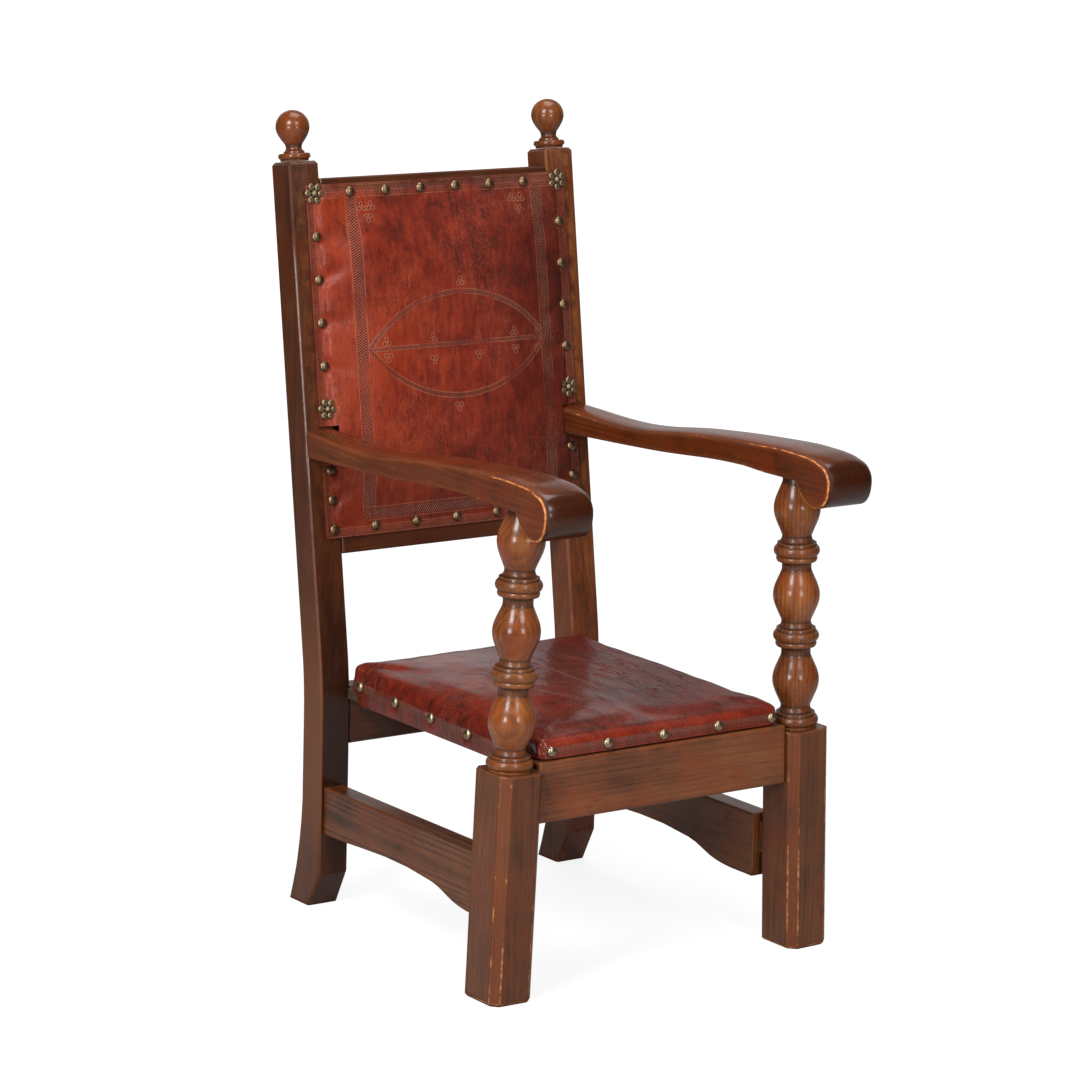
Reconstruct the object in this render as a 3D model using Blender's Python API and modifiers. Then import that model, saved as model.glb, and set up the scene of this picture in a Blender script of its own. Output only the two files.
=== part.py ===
"""Child's armchair: an oak frame with turned front posts and a nailed leather seat and back.

Metres, +Z up. The chair faces -Y and is symmetric about x = 0. Depths are laid out from the front
face of the front legs, and the root empty then centres the whole chair on the origin.
"""

import math

import bmesh
import bpy
from mathutils import Matrix, Vector

# Fit between pieces
CLEARANCE = 0.0003
MERGE_DISTANCE = 0.00001
SHARP_ANGLE = math.radians(40)
ROUND = 0.5
TENON_CHEEK = 0.0065
TENON_SHOULDER = 0.0085

# Rear posts: upright below the seat, raked above it, with the foot swept back
BACK_WIDTH = 0.346
POST_WIDTH = 0.035
POST_DEPTH = 0.034
POST_CHAMFER = 0.0020
POST_TOP_CHAMFER = 0.0030
POST_SETBACK = 0.350
POST_TOP = 0.7516
RAKE = math.radians(8.1)
BEND_START = 0.200
BEND_LENGTH = 0.070
FOOT_SWEEP = 0.022
FOOT_SWEEP_HEIGHT = 0.130
TOE_SETBACK = 0.019
TOE_HEIGHT = 0.037

# Finials: a pear-shaped ball on a neck and a ring
FINIAL_BASE_RADIUS = 0.0142
FINIAL_BASE_HEIGHT = 0.0024
FINIAL_RING_RADIUS = 0.0162
FINIAL_RING_HEIGHT = 0.0056
FINIAL_COLLAR_RADIUS = 0.0105
FINIAL_COLLAR_HEIGHT = 0.0020
FINIAL_NECK_RADIUS = 0.0079
FINIAL_NECK_HEIGHT = 0.0060
BALL_RADIUS = 0.0170
BALL_LOWER_HEIGHT = 0.0185
BALL_UPPER_HEIGHT = 0.0165
SPIGOT_RADIUS = 0.0050
SPIGOT_LENGTH = 0.0130

# Front posts: a chamfered leg block with a turned arm support above it, splayed at the feet
FOOT_SPREAD_EXTRA = 0.013
SPLAY = math.radians(2.0)
LEG_WIDTH = 0.0480
LEG_DEPTH = 0.0555
LEG_AXIS = 0.0225
LEG_CHAMFER = 0.0078
LEG_TOP_DROP = 0.0064
LEG_FOOT_CHAMFER = 0.003
VASE_COUNT = 3
VASE_RADIUS = 0.0230
NECK_RADIUS = 0.0145
VASE_OGEE = 0.30
VASE_NECK = 0.0055
VASE_CUT = 0.0060
RING_RADIUS = 0.0226
RING_HEIGHT = 0.0098
FILLET_RADIUS = 0.0194
FILLET_HEIGHT = 0.0030
BEAD_RADIUS = 0.0203
BEAD_HEIGHT = 0.0056
COVE_HEIGHT = 0.0070
COLLAR_HEIGHT = 0.0030
TURNED_BASE_RADIUS = 0.0206
TURNED_BASE_HEIGHT = 0.0020
ARM_TENON_RADIUS = 0.0100
ARM_TENON_LENGTH = 0.0180

# Arms: level over the front post, rising from the rear post and rolled over in front
ARM_SEAT = 0.4745
ARM_SEAT_END = 0.0450
ARM_THICKNESS = 0.0280
ARM_CROWN_RISE = 0.0305
ARM_CROWN_SETBACK = 0.0580
ARM_CROWN_FALL = 0.0015
ARM_FRONT_FALL = 0.0005
ARM_RISE_SETBACK = 0.1610
ARM_RISE_FALL = 0.0085
ARM_DIP_SETBACK = 0.2650
ARM_DIP = 0.0030
ARM_REAR_DROP = 0.0165
ARM_UNDER_SETBACK = 0.0845
ARM_UNDER_RISE = 0.0014
ARM_BELLY_SETBACK = 0.2230
ARM_BELLY = 0.0073
ARM_FLARE = 0.020
ARM_EDGE = 0.0018
SCROLL_RADIUS = 0.0240
SCROLL_REACH = 0.0580
SCROLL_DROP = 0.0220
SCROLL_LIP = 0.0036
ARM_REAR_TENON = 0.018

# Rails and stretchers
RAIL_TOP = 0.2284
RAIL_HEIGHT = 0.0590
RAIL_THICKNESS = 0.0240
FRONT_RAIL_SETBACK = 0.0064
REAR_RAIL_SETBACK = 0.0020
RAIL_EDGE = 0.0015
RAIL_TENON = 0.018
STRETCHER_TOP = 0.128
STRETCHER_HEIGHT = 0.049
STRETCHER_DROP = 0.0150
STRETCHER_EASE = 0.0023
STRETCHER_THICKNESS = 0.022
STRETCHER_INSET = 0.005
STRETCHER_DROP_START = 0.155
STRETCHER_DROP_END = 0.108
STRETCHER_TENON = 0.016
STRETCHER_TENON_INSET = 0.004

# Back: two rails between the posts, a stuffed opening, leather in front and a cover behind
BACK_RAIL_THICKNESS = 0.022
TOP_RAIL_DROP = 0.0176
TOP_RAIL_HEIGHT = 0.036
BOTTOM_RAIL_BOTTOM = 0.362
BOTTOM_RAIL_HEIGHT = 0.040
BACK_RAIL_TENON = 0.014
LEATHER = 0.0022
BACK_LEATHER_INSET = 0.016
BACK_LEATHER_RISE = 0.016
BACK_LEATHER_DROP = 0.006
BACK_SLOPE = 0.045
BACK_CROWN = 0.0085
BACK_PAD_DEPTH = 0.009
PAD_CLEARANCE = 0.0006
ARM_NOTCH = 0.0012
HESSIAN = 0.0012
OUTSIDE_COVER = 0.0018
OUTSIDE_COVER_MARGIN = 0.004

# Seat: a stuffed leather pad between the posts, on two side rails and two tacking bars
SEAT_SIDE_LAP = 0.0070
SEAT_FRONT_SETBACK = 0.0041
SEAT_REAR_GAP = 0.0045
SEAT_PAD = 0.0100
SEAT_CROWN = 0.0070
SEAT_RISE = 0.0065
SEAT_EDGE_RADIUS = 0.0120
SEAT_FRONT_HEM = 0.0018
SEAT_SIDE_HEM = 0.0120
SIDE_RAIL_DROP = 0.0120
SIDE_RAIL_THICKNESS = 0.0210
SIDE_RAIL_TENON = 0.012
SIDE_RAIL_SHOULDER = 0.0025
BAR_HEIGHT = 0.0116
WEBBING_INSET = 0.0050
REAR_BAR_DEPTH = 0.0200
WEBBING = 0.0016
WEBBING_WIDTH = 0.040
WEBBING_ACROSS = 4
WEBBING_ALONG = 3
STUFFING_INSET = 0.0048
STUFFING_EDGE = 0.0045

# Brass: domed nails and six-petal rosettes
NAIL_RADIUS = 0.0050
NAIL_HEIGHT = 0.0030
NAIL_SINK = 0.0010
NAIL_MARGIN = 0.0090
TOP_NAILS = 6
UPPER_SIDE_NAILS = 4
LOWER_SIDE_NAILS = 3
BOTTOM_NAILS = 5
ROSETTE_RADIUS = 0.0112
ROSETTE_HEIGHT = 0.0045
ROSETTE_PETALS = 6
ROSETTE_NOTCH = 0.16
ROSETTE_BOSS = 0.45
ROSETTE_LEAF = 0.35
ROSETTE_PETAL = 0.25
LOWER_ROSETTE_RISE = 0.018
SEAT_NAIL_DROP = 0.0130
SIDE_NAIL_DROP = 0.0185
SEAT_NAILS = 5
SEAT_NAIL_INSET = 0.0130
SIDE_NAIL_PITCH = 0.0635

# Facets
TURNED_STEPS = 20
FINIAL_STEPS = 16
BALL_STEPS = 5
VASE_STEPS = 4
RING_STEPS = 3
RING_ARC = math.radians(120)
SCROLL_STEPS = 5
SCROLL_START = math.radians(95)
SCROLL_END = math.radians(310)
CURVE_STEPS = 5
CORNER_STEPS = 3
HEM_STEPS = 2
BEND_CUTS = 6
BACK_COLUMNS = 16
BACK_ROWS = 18
SEAT_COLUMNS = 12
SEAT_ROWS = 12
NAIL_STEPS = 10
NAIL_RINGS = 6
ROSETTE_STEPS = 30
ROSETTE_RINGS = 10

# Places worked out from the sizes above
POST_CENTRE = BACK_WIDTH / 2 - POST_WIDTH / 2
POST_INNER = BACK_WIDTH / 2 - POST_WIDTH
FOOT_SPREAD = BACK_WIDTH + FOOT_SPREAD_EXTRA
LEG_TOP = RAIL_TOP - LEG_TOP_DROP
LEG_BACK = LEG_AXIS + LEG_DEPTH / 2
BEND_RADIUS = BEND_LENGTH / RAKE
BEND_END_Y = POST_SETBACK + BEND_RADIUS * (1 - math.cos(RAKE))
BEND_END_Z = BEND_START + BEND_RADIUS * math.sin(RAKE)
FRONT_RAIL_BACK = FRONT_RAIL_SETBACK + RAIL_THICKNESS
REAR_RAIL_FRONT = POST_SETBACK + REAR_RAIL_SETBACK
STRETCHER_OUTER = BACK_WIDTH / 2 - STRETCHER_INSET
TOP_RAIL_TOP = POST_TOP - TOP_RAIL_DROP
ARM_CROWN = ARM_SEAT + ARM_CROWN_RISE
ARM_REAR_TOP = ARM_CROWN - ARM_REAR_DROP
ARM_REAR_UNDER = ARM_REAR_TOP - ARM_THICKNESS
BACK_LEATHER_HALF = BACK_WIDTH / 2 - BACK_LEATHER_INSET
BACK_LEATHER_BOTTOM = BOTTOM_RAIL_BOTTOM + BACK_LEATHER_RISE
BACK_LEATHER_TOP = TOP_RAIL_TOP - BACK_LEATHER_DROP
BACK_FLAT_MARGIN = NAIL_MARGIN + ROSETTE_RADIUS + CLEARANCE
SEAT_HALF = POST_INNER + SEAT_SIDE_LAP
SEAT_FRONT = FRONT_RAIL_SETBACK + SEAT_FRONT_SETBACK
SEAT_REAR = POST_SETBACK - SEAT_REAR_GAP
BAR_TOP = RAIL_TOP + BAR_HEIGHT
SEAT_EDGE_TOP = BAR_TOP + SEAT_PAD
BAR_HALF = SEAT_HALF - LEATHER - CLEARANCE
BAR_FRONT = SEAT_FRONT + LEATHER + CLEARANCE
BAR_REAR = SEAT_REAR - LEATHER - CLEARANCE
SIDE_RAIL_INNER = BAR_HALF - SIDE_RAIL_THICKNESS
FINIAL_HEIGHT = (
    FINIAL_BASE_HEIGHT
    + FINIAL_RING_HEIGHT
    + FINIAL_COLLAR_HEIGHT
    + FINIAL_NECK_HEIGHT
    + BALL_LOWER_HEIGHT
    + BALL_UPPER_HEIGHT
)


def back_length(height):
    """Distance up the raked front of the posts from the end of the bend to a height."""
    return (height - BEND_END_Z) / math.cos(RAKE)


def back_front(height):
    """Depth of the raked front of the posts at a height."""
    return BEND_END_Y + (height - BEND_END_Z) * math.tan(RAKE)


def leg_inner(height):
    """Distance from the middle of the chair to the inner face of a splayed leg at a height."""
    return FOOT_SPREAD / 2 - height * math.tan(SPLAY) - LEG_WIDTH / 2 / math.cos(SPLAY)


def depth_centre():
    """Middle of the chair's depth, between the scrolls in front and the finials behind."""
    ball_height = back_length(POST_TOP) + FINIAL_HEIGHT - BALL_UPPER_HEIGHT
    ball_axis = BEND_END_Y + ball_height * math.sin(RAKE) + POST_DEPTH / 2 * math.cos(RAKE)
    return (ball_axis + BALL_RADIUS - SCROLL_REACH) / 2


def smooth(share):
    """Smooth step from 0 to 1."""
    share = min(max(share, 0.0), 1.0)
    return share * share * (3 - 2 * share)


def clear_scene():
    for obj in list(bpy.data.objects):
        bpy.data.objects.remove(obj, do_unlink=True)


def new_collection(name):
    collection = bpy.data.collections.new(name)
    bpy.context.scene.collection.children.link(collection)
    return collection


def new_empty(name, parent=None):
    empty = bpy.data.objects.new(name, None)
    empty.empty_display_size = LEG_WIDTH
    parts.objects.link(empty)
    empty.parent = parent
    return empty


def finish(name, colour, roughness, metallic=0.0):
    material = bpy.data.materials.new(name)
    material.use_nodes = True
    shader = material.node_tree.nodes["Principled BSDF"]
    shader.inputs["Base Color"].default_value = (*colour, 1.0)
    shader.inputs["Roughness"].default_value = roughness
    shader.inputs["Metallic"].default_value = metallic
    return material


def to_mesh(name, bm):
    mesh = bpy.data.meshes.new(name)
    bm.to_mesh(mesh)
    bm.free()
    return mesh


def piece(name, mesh, material, parent=None):
    """One visible part of the chair."""
    mesh.materials.append(material)
    mesh.shade_smooth()
    mesh.set_sharp_from_angle(angle=SHARP_ANGLE)
    obj = bpy.data.objects.new(name, mesh)
    parts.objects.link(obj)
    obj.parent = parent or chair
    return obj


def helper(name, mesh, parent=None):
    """A shape that only cuts or joins the parts."""
    obj = bpy.data.objects.new(name, mesh)
    cutters.objects.link(obj)
    obj.parent = parent or chair
    obj.hide_render = True
    obj.display_type = "WIRE"
    return obj


def boolean(target, other, operation):
    modifier = target.modifiers.new(other.name, "BOOLEAN")
    modifier.operation = operation
    modifier.solver = "EXACT"
    modifier.object = other


def soften(obj, width, segments=1):
    """Worn edges on a piece."""
    bevel = obj.modifiers.new("Worn edges", "BEVEL")
    bevel.width = width
    bevel.segments = segments
    bevel.limit_method = "ANGLE"
    bevel.angle_limit = SHARP_ANGLE
    bevel.use_clamp_overlap = False


def block(centre, size):
    """Box as a bmesh, by its centre and its size."""
    bm = bmesh.new()
    bmesh.ops.create_cube(bm, size=1.0)
    bmesh.ops.scale(bm, vec=size, verts=bm.verts)
    bmesh.ops.translate(bm, vec=centre, verts=bm.verts)
    return bm


def span(*ranges):
    """Centre and size of a box from its lowest and highest x, y and z."""
    centre = [(low + high) / 2 for low, high in ranges]
    size = [high - low for low, high in ranges]
    return centre, size


def tenon_span(low, high, wood):
    """The range that a tenon takes of a rail's width or height, with this much wood left beside it."""
    return low + wood, high - wood


def tenons(name, rail, posts, centre, size, parent=None):
    """Joins a tenon bar to a rail, and cuts its mortises, a clearance larger, in the posts."""
    boolean(rail, helper(name + "_tenons", to_mesh(name, block(centre, size)), parent), "UNION")
    loose = [edge + 2 * CLEARANCE for edge in size]
    mortises = helper(name + "_mortises", to_mesh(name, block(centre, loose)), parent)
    for post in posts:
        boolean(post, mortises, "DIFFERENCE")


def turned(obj, steps):
    """Spins an object's profile about its Z axis."""
    screw = obj.modifiers.new("Turning", "SCREW")
    screw.steps = steps
    screw.render_steps = steps
    screw.use_merge_vertices = True
    screw.merge_threshold = MERGE_DISTANCE
    screw.use_smooth_shade = True


def profile_mesh(name, profile):
    """Chain of edges through radius and height pairs that are listed from the bottom up."""
    bm = bmesh.new()
    points = [bm.verts.new((radius, 0.0, height)) for radius, height in reversed(profile)]
    for upper, lower in zip(points, points[1:]):
        bm.edges.new((upper, lower))
    return to_mesh(name, bm)


def sawn_mesh(name, outline, thickness):
    """Flat outline of depth, height and handle type, sawn from a board centred on x = 0."""
    curve = bpy.data.curves.new(name, "CURVE")
    curve.dimensions = "2D"
    curve.fill_mode = "BOTH"
    curve.extrude = thickness / 2
    curve.resolution_u = CURVE_STEPS
    spline = curve.splines.new("BEZIER")
    spline.bezier_points.add(len(outline) - 1)
    spline.use_cyclic_u = True
    for knot, (depth, height, handle) in zip(spline.bezier_points, outline):
        knot.co = (depth, height, 0.0)
        knot.handle_left_type = handle
        knot.handle_right_type = handle
    board = bpy.data.objects.new(name, curve)
    cutters.objects.link(board)
    solid = board.evaluated_get(bpy.context.evaluated_depsgraph_get())
    mesh = bpy.data.meshes.new_from_object(solid)
    bpy.data.objects.remove(board, do_unlink=True)
    bm = bmesh.new()
    bm.from_mesh(mesh)
    bpy.data.meshes.remove(mesh)
    bmesh.ops.remove_doubles(bm, verts=bm.verts, dist=MERGE_DISTANCE)
    caps = {face for face in bm.faces if abs(face.normal.z) > math.cos(SHARP_ANGLE)}
    inside = [edge for edge in bm.edges if caps.issuperset(edge.link_faces)]
    bmesh.ops.dissolve_edges(bm, edges=inside)
    upright = Matrix(((0, 0, 1), (1, 0, 0), (0, 1, 0)))
    bmesh.ops.transform(bm, matrix=upright.to_4x4(), verts=bm.verts)
    return to_mesh(name, bm)


def cut_across(bm, axis, places):
    """Adds edge loops where planes square to an axis cut the mesh."""
    normal = Vector((0.0, 0.0, 0.0))
    normal[axis] = 1.0
    for place in places:
        geometry = bm.verts[:] + bm.edges[:] + bm.faces[:]
        bmesh.ops.bisect_plane(bm, geom=geometry, plane_co=normal * place, plane_no=normal)


def fold_short(bm):
    """Splits faces along their shorter diagonals, so that leather and stuffing fold alike."""
    bmesh.ops.triangulate(bm, faces=bm.faces, quad_method="SHORT_EDGE")


def steps_between(low, high, count):
    """Places that divide a length into this many equal steps, without its ends."""
    return [low + (high - low) * step / count for step in range(1, count)]


def make_rear_post(name, side):
    """A straight chamfered bar, cut into short lengths, then bent and swept to its outline."""
    straight = BEND_START + BEND_LENGTH
    length = straight + back_length(POST_TOP)
    ranges = ((-POST_WIDTH / 2, POST_WIDTH / 2), (0.0, POST_DEPTH), (0.0, length))
    bm = block(*span(*ranges))
    upright = [edge for edge in bm.edges if edge.calc_length() > length / 2]
    bmesh.ops.bevel(bm, geom=upright, offset=POST_CHAMFER, segments=1, affect="EDGES")
    top = [edge for edge in bm.edges if all(vert.co.z > length / 2 for vert in edge.verts)]
    bmesh.ops.bevel(bm, geom=top, offset=POST_TOP_CHAMFER, segments=1, affect="EDGES")
    cut_across(bm, 2, steps_between(0.0, FOOT_SWEEP_HEIGHT, BEND_CUTS) + [TOE_HEIGHT])
    cut_across(bm, 2, steps_between(BEND_START, straight, BEND_CUTS) + [BEND_START, straight])
    for vert in bm.verts:
        x, y, along = vert.co
        toe = TOE_SETBACK * max(0.0, 1 - along / TOE_HEIGHT)
        heel = FOOT_SWEEP * max(0.0, 1 - along / FOOT_SWEEP_HEIGHT) ** 2
        y += toe + (heel - toe) * y / POST_DEPTH
        angle = min(max(along - BEND_START, 0.0), BEND_LENGTH) / BEND_RADIUS
        beyond = max(0.0, along - straight)
        front = POST_SETBACK + BEND_RADIUS * (1 - math.cos(angle)) + beyond * math.sin(angle)
        height = min(along, BEND_START) + BEND_RADIUS * math.sin(angle) + beyond * math.cos(angle)
        vert.co = (x, front + y * math.cos(angle), height - y * math.sin(angle))
    post = piece(name, to_mesh(name, bm), oak)
    post.location.x = side * POST_CENTRE
    return post


def finial_profile():
    """Spigot, base, ring, collar, neck and ball, from the bottom up."""
    ring = FINIAL_BASE_HEIGHT
    collar = ring + FINIAL_RING_HEIGHT
    neck = collar + FINIAL_COLLAR_HEIGHT
    waist = neck + FINIAL_NECK_HEIGHT
    middle = waist + BALL_LOWER_HEIGHT
    profile = [(0.0, -SPIGOT_LENGTH), (SPIGOT_RADIUS, -SPIGOT_LENGTH)]
    profile += [(SPIGOT_RADIUS, 0.0), (FINIAL_BASE_RADIUS, 0.0), (FINIAL_BASE_RADIUS, ring)]
    profile += half_round(FINIAL_RING_RADIUS, ring, FINIAL_RING_HEIGHT)
    profile += [(FINIAL_COLLAR_RADIUS, collar), (FINIAL_COLLAR_RADIUS, neck)]
    profile.append((FINIAL_NECK_RADIUS, waist - FINIAL_NECK_HEIGHT / 3))
    for step in range(BALL_STEPS):
        share = step / BALL_STEPS
        swell = (BALL_RADIUS - FINIAL_NECK_RADIUS) * math.sin(share * math.pi / 2)
        profile.append((FINIAL_NECK_RADIUS + swell, waist + BALL_LOWER_HEIGHT * share))
    for step in range(BALL_STEPS):
        angle = math.pi / 2 * step / BALL_STEPS
        profile.append((BALL_RADIUS * math.cos(angle), middle + BALL_UPPER_HEIGHT * math.sin(angle)))
    profile.append((0.0, middle + BALL_UPPER_HEIGHT))
    return profile


def half_round(radius, bottom, height):
    """Rounded edge of a ring."""
    points = []
    for step in range(RING_STEPS + 1):
        share = 2 * step / RING_STEPS - 1
        inward = height / 2 * (1 - math.cos(RING_ARC / 2 * share))
        rise = math.sin(RING_ARC / 2 * share) / math.sin(RING_ARC / 2)
        points.append((radius - inward, bottom + height / 2 * (1 + rise)))
    return points


def drill(name, radius, depth, steps, parent, place):
    """A round cutter that reaches this far to either side of a place."""
    bm = bmesh.new()
    sizes = {"radius1": radius, "radius2": radius, "depth": 2 * depth}
    bmesh.ops.create_cone(bm, cap_ends=True, segments=steps, **sizes)
    cutter = helper(name, to_mesh(name, bm), parent)
    cutter.location = place
    return cutter


def make_finial(name, side, post):
    finial = piece(name, profile_mesh(name, finial_profile()), oak_turned, back_frame)
    top = back_length(POST_TOP)
    finial.location = (side * POST_CENTRE, POST_DEPTH / 2, top + CLEARANCE)
    turned(finial, FINIAL_STEPS)
    place = (side * POST_CENTRE, POST_DEPTH / 2, top)
    radius = SPIGOT_RADIUS + CLEARANCE
    hole = drill(name + "_hole", radius, SPIGOT_LENGTH + CLEARANCE, FINIAL_STEPS, back_frame, place)
    boolean(post, hole, "DIFFERENCE")
    return finial


def vase(bottom, height):
    """A vase that is full round its widest place and drawn in with an ogee at both ends."""
    swell = VASE_RADIUS - NECK_RADIUS
    points = []
    for step in range(2 * VASE_STEPS + 1):
        share = step / VASE_STEPS - 1
        full = math.cos(share * math.pi / 2)
        drawn = (1 + math.cos(share * math.pi)) / 2
        radius = NECK_RADIUS + swell * (full + (drawn - full) * VASE_OGEE)
        points.append((radius, bottom + height / 2 * (1 + share)))
    return points


def front_post_profile():
    """Turned part of a front post and its round tenon, from inside the leg block up."""
    tilt = NECK_RADIUS * math.sin(SPLAY)
    shoulder = (ARM_SEAT - CLEARANCE - tilt) / math.cos(SPLAY)
    bottom = LEG_TOP + TURNED_BASE_HEIGHT
    pitch = (shoulder + VASE_CUT - bottom) / VASE_COUNT
    sunk = LEG_TOP - TURNED_BASE_HEIGHT
    profile = [(0.0, sunk), (TURNED_BASE_RADIUS, sunk), (TURNED_BASE_RADIUS, bottom)]
    for count in range(VASE_COUNT):
        ring = bottom + pitch * count
        fillet = ring + RING_HEIGHT
        cove = fillet + FILLET_HEIGHT
        foot = cove + COVE_HEIGHT
        bead = ring + pitch - BEAD_HEIGHT
        last = count == VASE_COUNT - 1
        collar = shoulder if last else bead - COLLAR_HEIGHT
        profile += half_round(RING_RADIUS, ring, RING_HEIGHT)
        profile += [(FILLET_RADIUS, fillet), (FILLET_RADIUS, cove)]
        profile.append((NECK_RADIUS + (FILLET_RADIUS - NECK_RADIUS) / 4, cove + COVE_HEIGHT / 2))
        profile += vase(foot, collar - VASE_NECK - foot)
        profile.append((NECK_RADIUS, collar))
        if not last:
            profile += half_round(BEAD_RADIUS, bead, BEAD_HEIGHT)
    tip = shoulder + ARM_TENON_LENGTH
    profile += [(ARM_TENON_RADIUS, shoulder), (ARM_TENON_RADIUS, tip), (0.0, tip)]
    return profile


def make_front_post(name, side, floor):
    post = piece(name, profile_mesh(name, front_post_profile()), oak_turned)
    post.location = (side * FOOT_SPREAD / 2, LEG_AXIS, 0.0)
    post.rotation_euler.y = -side * SPLAY
    turned(post, TURNED_STEPS)
    half = LEG_WIDTH / 2
    bottom = -half * math.tan(SPLAY)
    bm = block(*span((-half, half), (-LEG_DEPTH / 2, LEG_DEPTH / 2), (bottom, LEG_TOP)))
    upright = [edge for edge in bm.edges if edge.verts[0].co.z * edge.verts[1].co.z < 0]
    bmesh.ops.bevel(bm, geom=upright, offset=LEG_CHAMFER, segments=1, affect="EDGES")
    foot = [edge for edge in bm.edges if all(vert.co.z < 0 for vert in edge.verts)]
    bmesh.ops.bevel(bm, geom=foot, offset=LEG_FOOT_CHAMFER, segments=1, affect="EDGES")
    boolean(post, helper(name + "_leg", to_mesh(name, bm), post), "UNION")
    boolean(post, floor, "DIFFERENCE")
    return post


def arm_outline():
    """Side view of an arm: the top from the post, round the scroll, and back along the underside."""
    scroll_y = SCROLL_RADIUS - SCROLL_REACH
    scroll_z = ARM_SEAT - SCROLL_DROP + SCROLL_RADIUS
    outline = [
        (back_front(ARM_REAR_TOP) - CLEARANCE, ARM_REAR_TOP, "VECTOR"),
        (ARM_DIP_SETBACK, ARM_REAR_TOP - ARM_DIP, "AUTO"),
        (ARM_RISE_SETBACK, ARM_CROWN - ARM_RISE_FALL, "AUTO"),
        (ARM_CROWN_SETBACK, ARM_CROWN - ARM_CROWN_FALL, "AUTO"),
        (0.0, ARM_CROWN - ARM_FRONT_FALL, "AUTO"),
    ]
    for step in range(SCROLL_STEPS + 1):
        angle = SCROLL_START + (SCROLL_END - SCROLL_START) * step / SCROLL_STEPS
        y = scroll_y + SCROLL_RADIUS * math.cos(angle)
        outline.append((y, scroll_z + SCROLL_RADIUS * math.sin(angle), "AUTO"))
    outline += [
        (-SCROLL_LIP, ARM_SEAT, "VECTOR"),
        (ARM_SEAT_END, ARM_SEAT, "VECTOR"),
        (ARM_UNDER_SETBACK, ARM_SEAT + ARM_UNDER_RISE, "AUTO"),
        (ARM_BELLY_SETBACK, ARM_SEAT - ARM_BELLY, "AUTO"),
        (back_front(ARM_REAR_UNDER) - CLEARANCE, ARM_REAR_UNDER, "VECTOR"),
    ]
    return outline


def make_arm(name, side, rear_post, front_post):
    rear = back_front(ARM_SEAT)
    mesh = sawn_mesh(name, arm_outline(), POST_WIDTH)
    for vert in mesh.vertices:
        outer = BACK_WIDTH / 2 + ARM_FLARE * (rear - vert.co.y) / (rear + SCROLL_REACH)
        vert.co.x = side * (outer if vert.co.x * side > 0 else POST_INNER)
    arm = piece(name, mesh, oak)
    soften(arm, ARM_EDGE)
    root = back_front((ARM_REAR_TOP + ARM_REAR_UNDER) / 2)
    x = sorted((side * POST_INNER, side * BACK_WIDTH / 2))
    y = (root - ARM_REAR_TENON, root + ARM_REAR_TENON)
    x = tenon_span(*x, TENON_SHOULDER)
    z = tenon_span(ARM_REAR_UNDER, ARM_REAR_TOP, TENON_CHEEK)
    tenons(name, arm, [rear_post], *span(x, y, z))
    place = (0.0, 0.0, ARM_SEAT / math.cos(SPLAY))
    radius = ARM_TENON_RADIUS + CLEARANCE
    hole = drill(name + "_hole", radius, ARM_TENON_LENGTH + CLEARANCE, TURNED_STEPS, front_post, place)
    boolean(arm, hole, "DIFFERENCE")
    return arm


def make_front_rail(posts):
    """The front rail follows the splay of the legs at both ends."""
    bottom = RAIL_TOP - RAIL_HEIGHT
    ranges = ((-1.0, 1.0), (FRONT_RAIL_SETBACK, FRONT_RAIL_BACK), (bottom, RAIL_TOP))
    bm = block(*span(*ranges))
    for vert in bm.verts:
        vert.co.x *= leg_inner(vert.co.z) - CLEARANCE
    rail = piece("front_seat_rail", to_mesh("front_seat_rail", bm), oak)
    soften(rail, RAIL_EDGE)
    end = leg_inner(RAIL_TOP) + RAIL_TENON
    y = tenon_span(FRONT_RAIL_SETBACK, FRONT_RAIL_BACK, TENON_CHEEK)
    z = tenon_span(bottom, RAIL_TOP, TENON_SHOULDER)
    tenons("front_rail", rail, posts, *span((-end, end), y, z))
    return rail


def make_cross_rail(name, posts, ranges, tenon, parent=None):
    """A straight rail between two pieces, with a tenon at both ends."""
    rail = piece(name, to_mesh(name, block(*span(*ranges))), oak, parent)
    soften(rail, RAIL_EDGE)
    x, y, z = ranges
    x = (x[0] - tenon, x[1] + tenon)
    y = tenon_span(*y, TENON_CHEEK)
    z = tenon_span(*z, TENON_SHOULDER)
    tenons(name, rail, posts, *span(x, y, z), parent)
    return rail


def make_rear_rail(posts):
    end = POST_INNER - CLEARANCE
    y = (REAR_RAIL_FRONT, REAR_RAIL_FRONT + RAIL_THICKNESS)
    ranges = ((-end, end), y, (RAIL_TOP - RAIL_HEIGHT, RAIL_TOP))
    return make_cross_rail("rear_seat_rail", posts, ranges, RAIL_TENON)


def make_back_rail(name, posts, low, height):
    """A rail of the back, by the distance of its lower edge up the raked posts."""
    end = POST_INNER - CLEARANCE
    ranges = ((-end, end), (0.0, BACK_RAIL_THICKNESS), (low, low + height))
    return make_cross_rail(name, posts, ranges, BACK_RAIL_TENON, back_frame)


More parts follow.
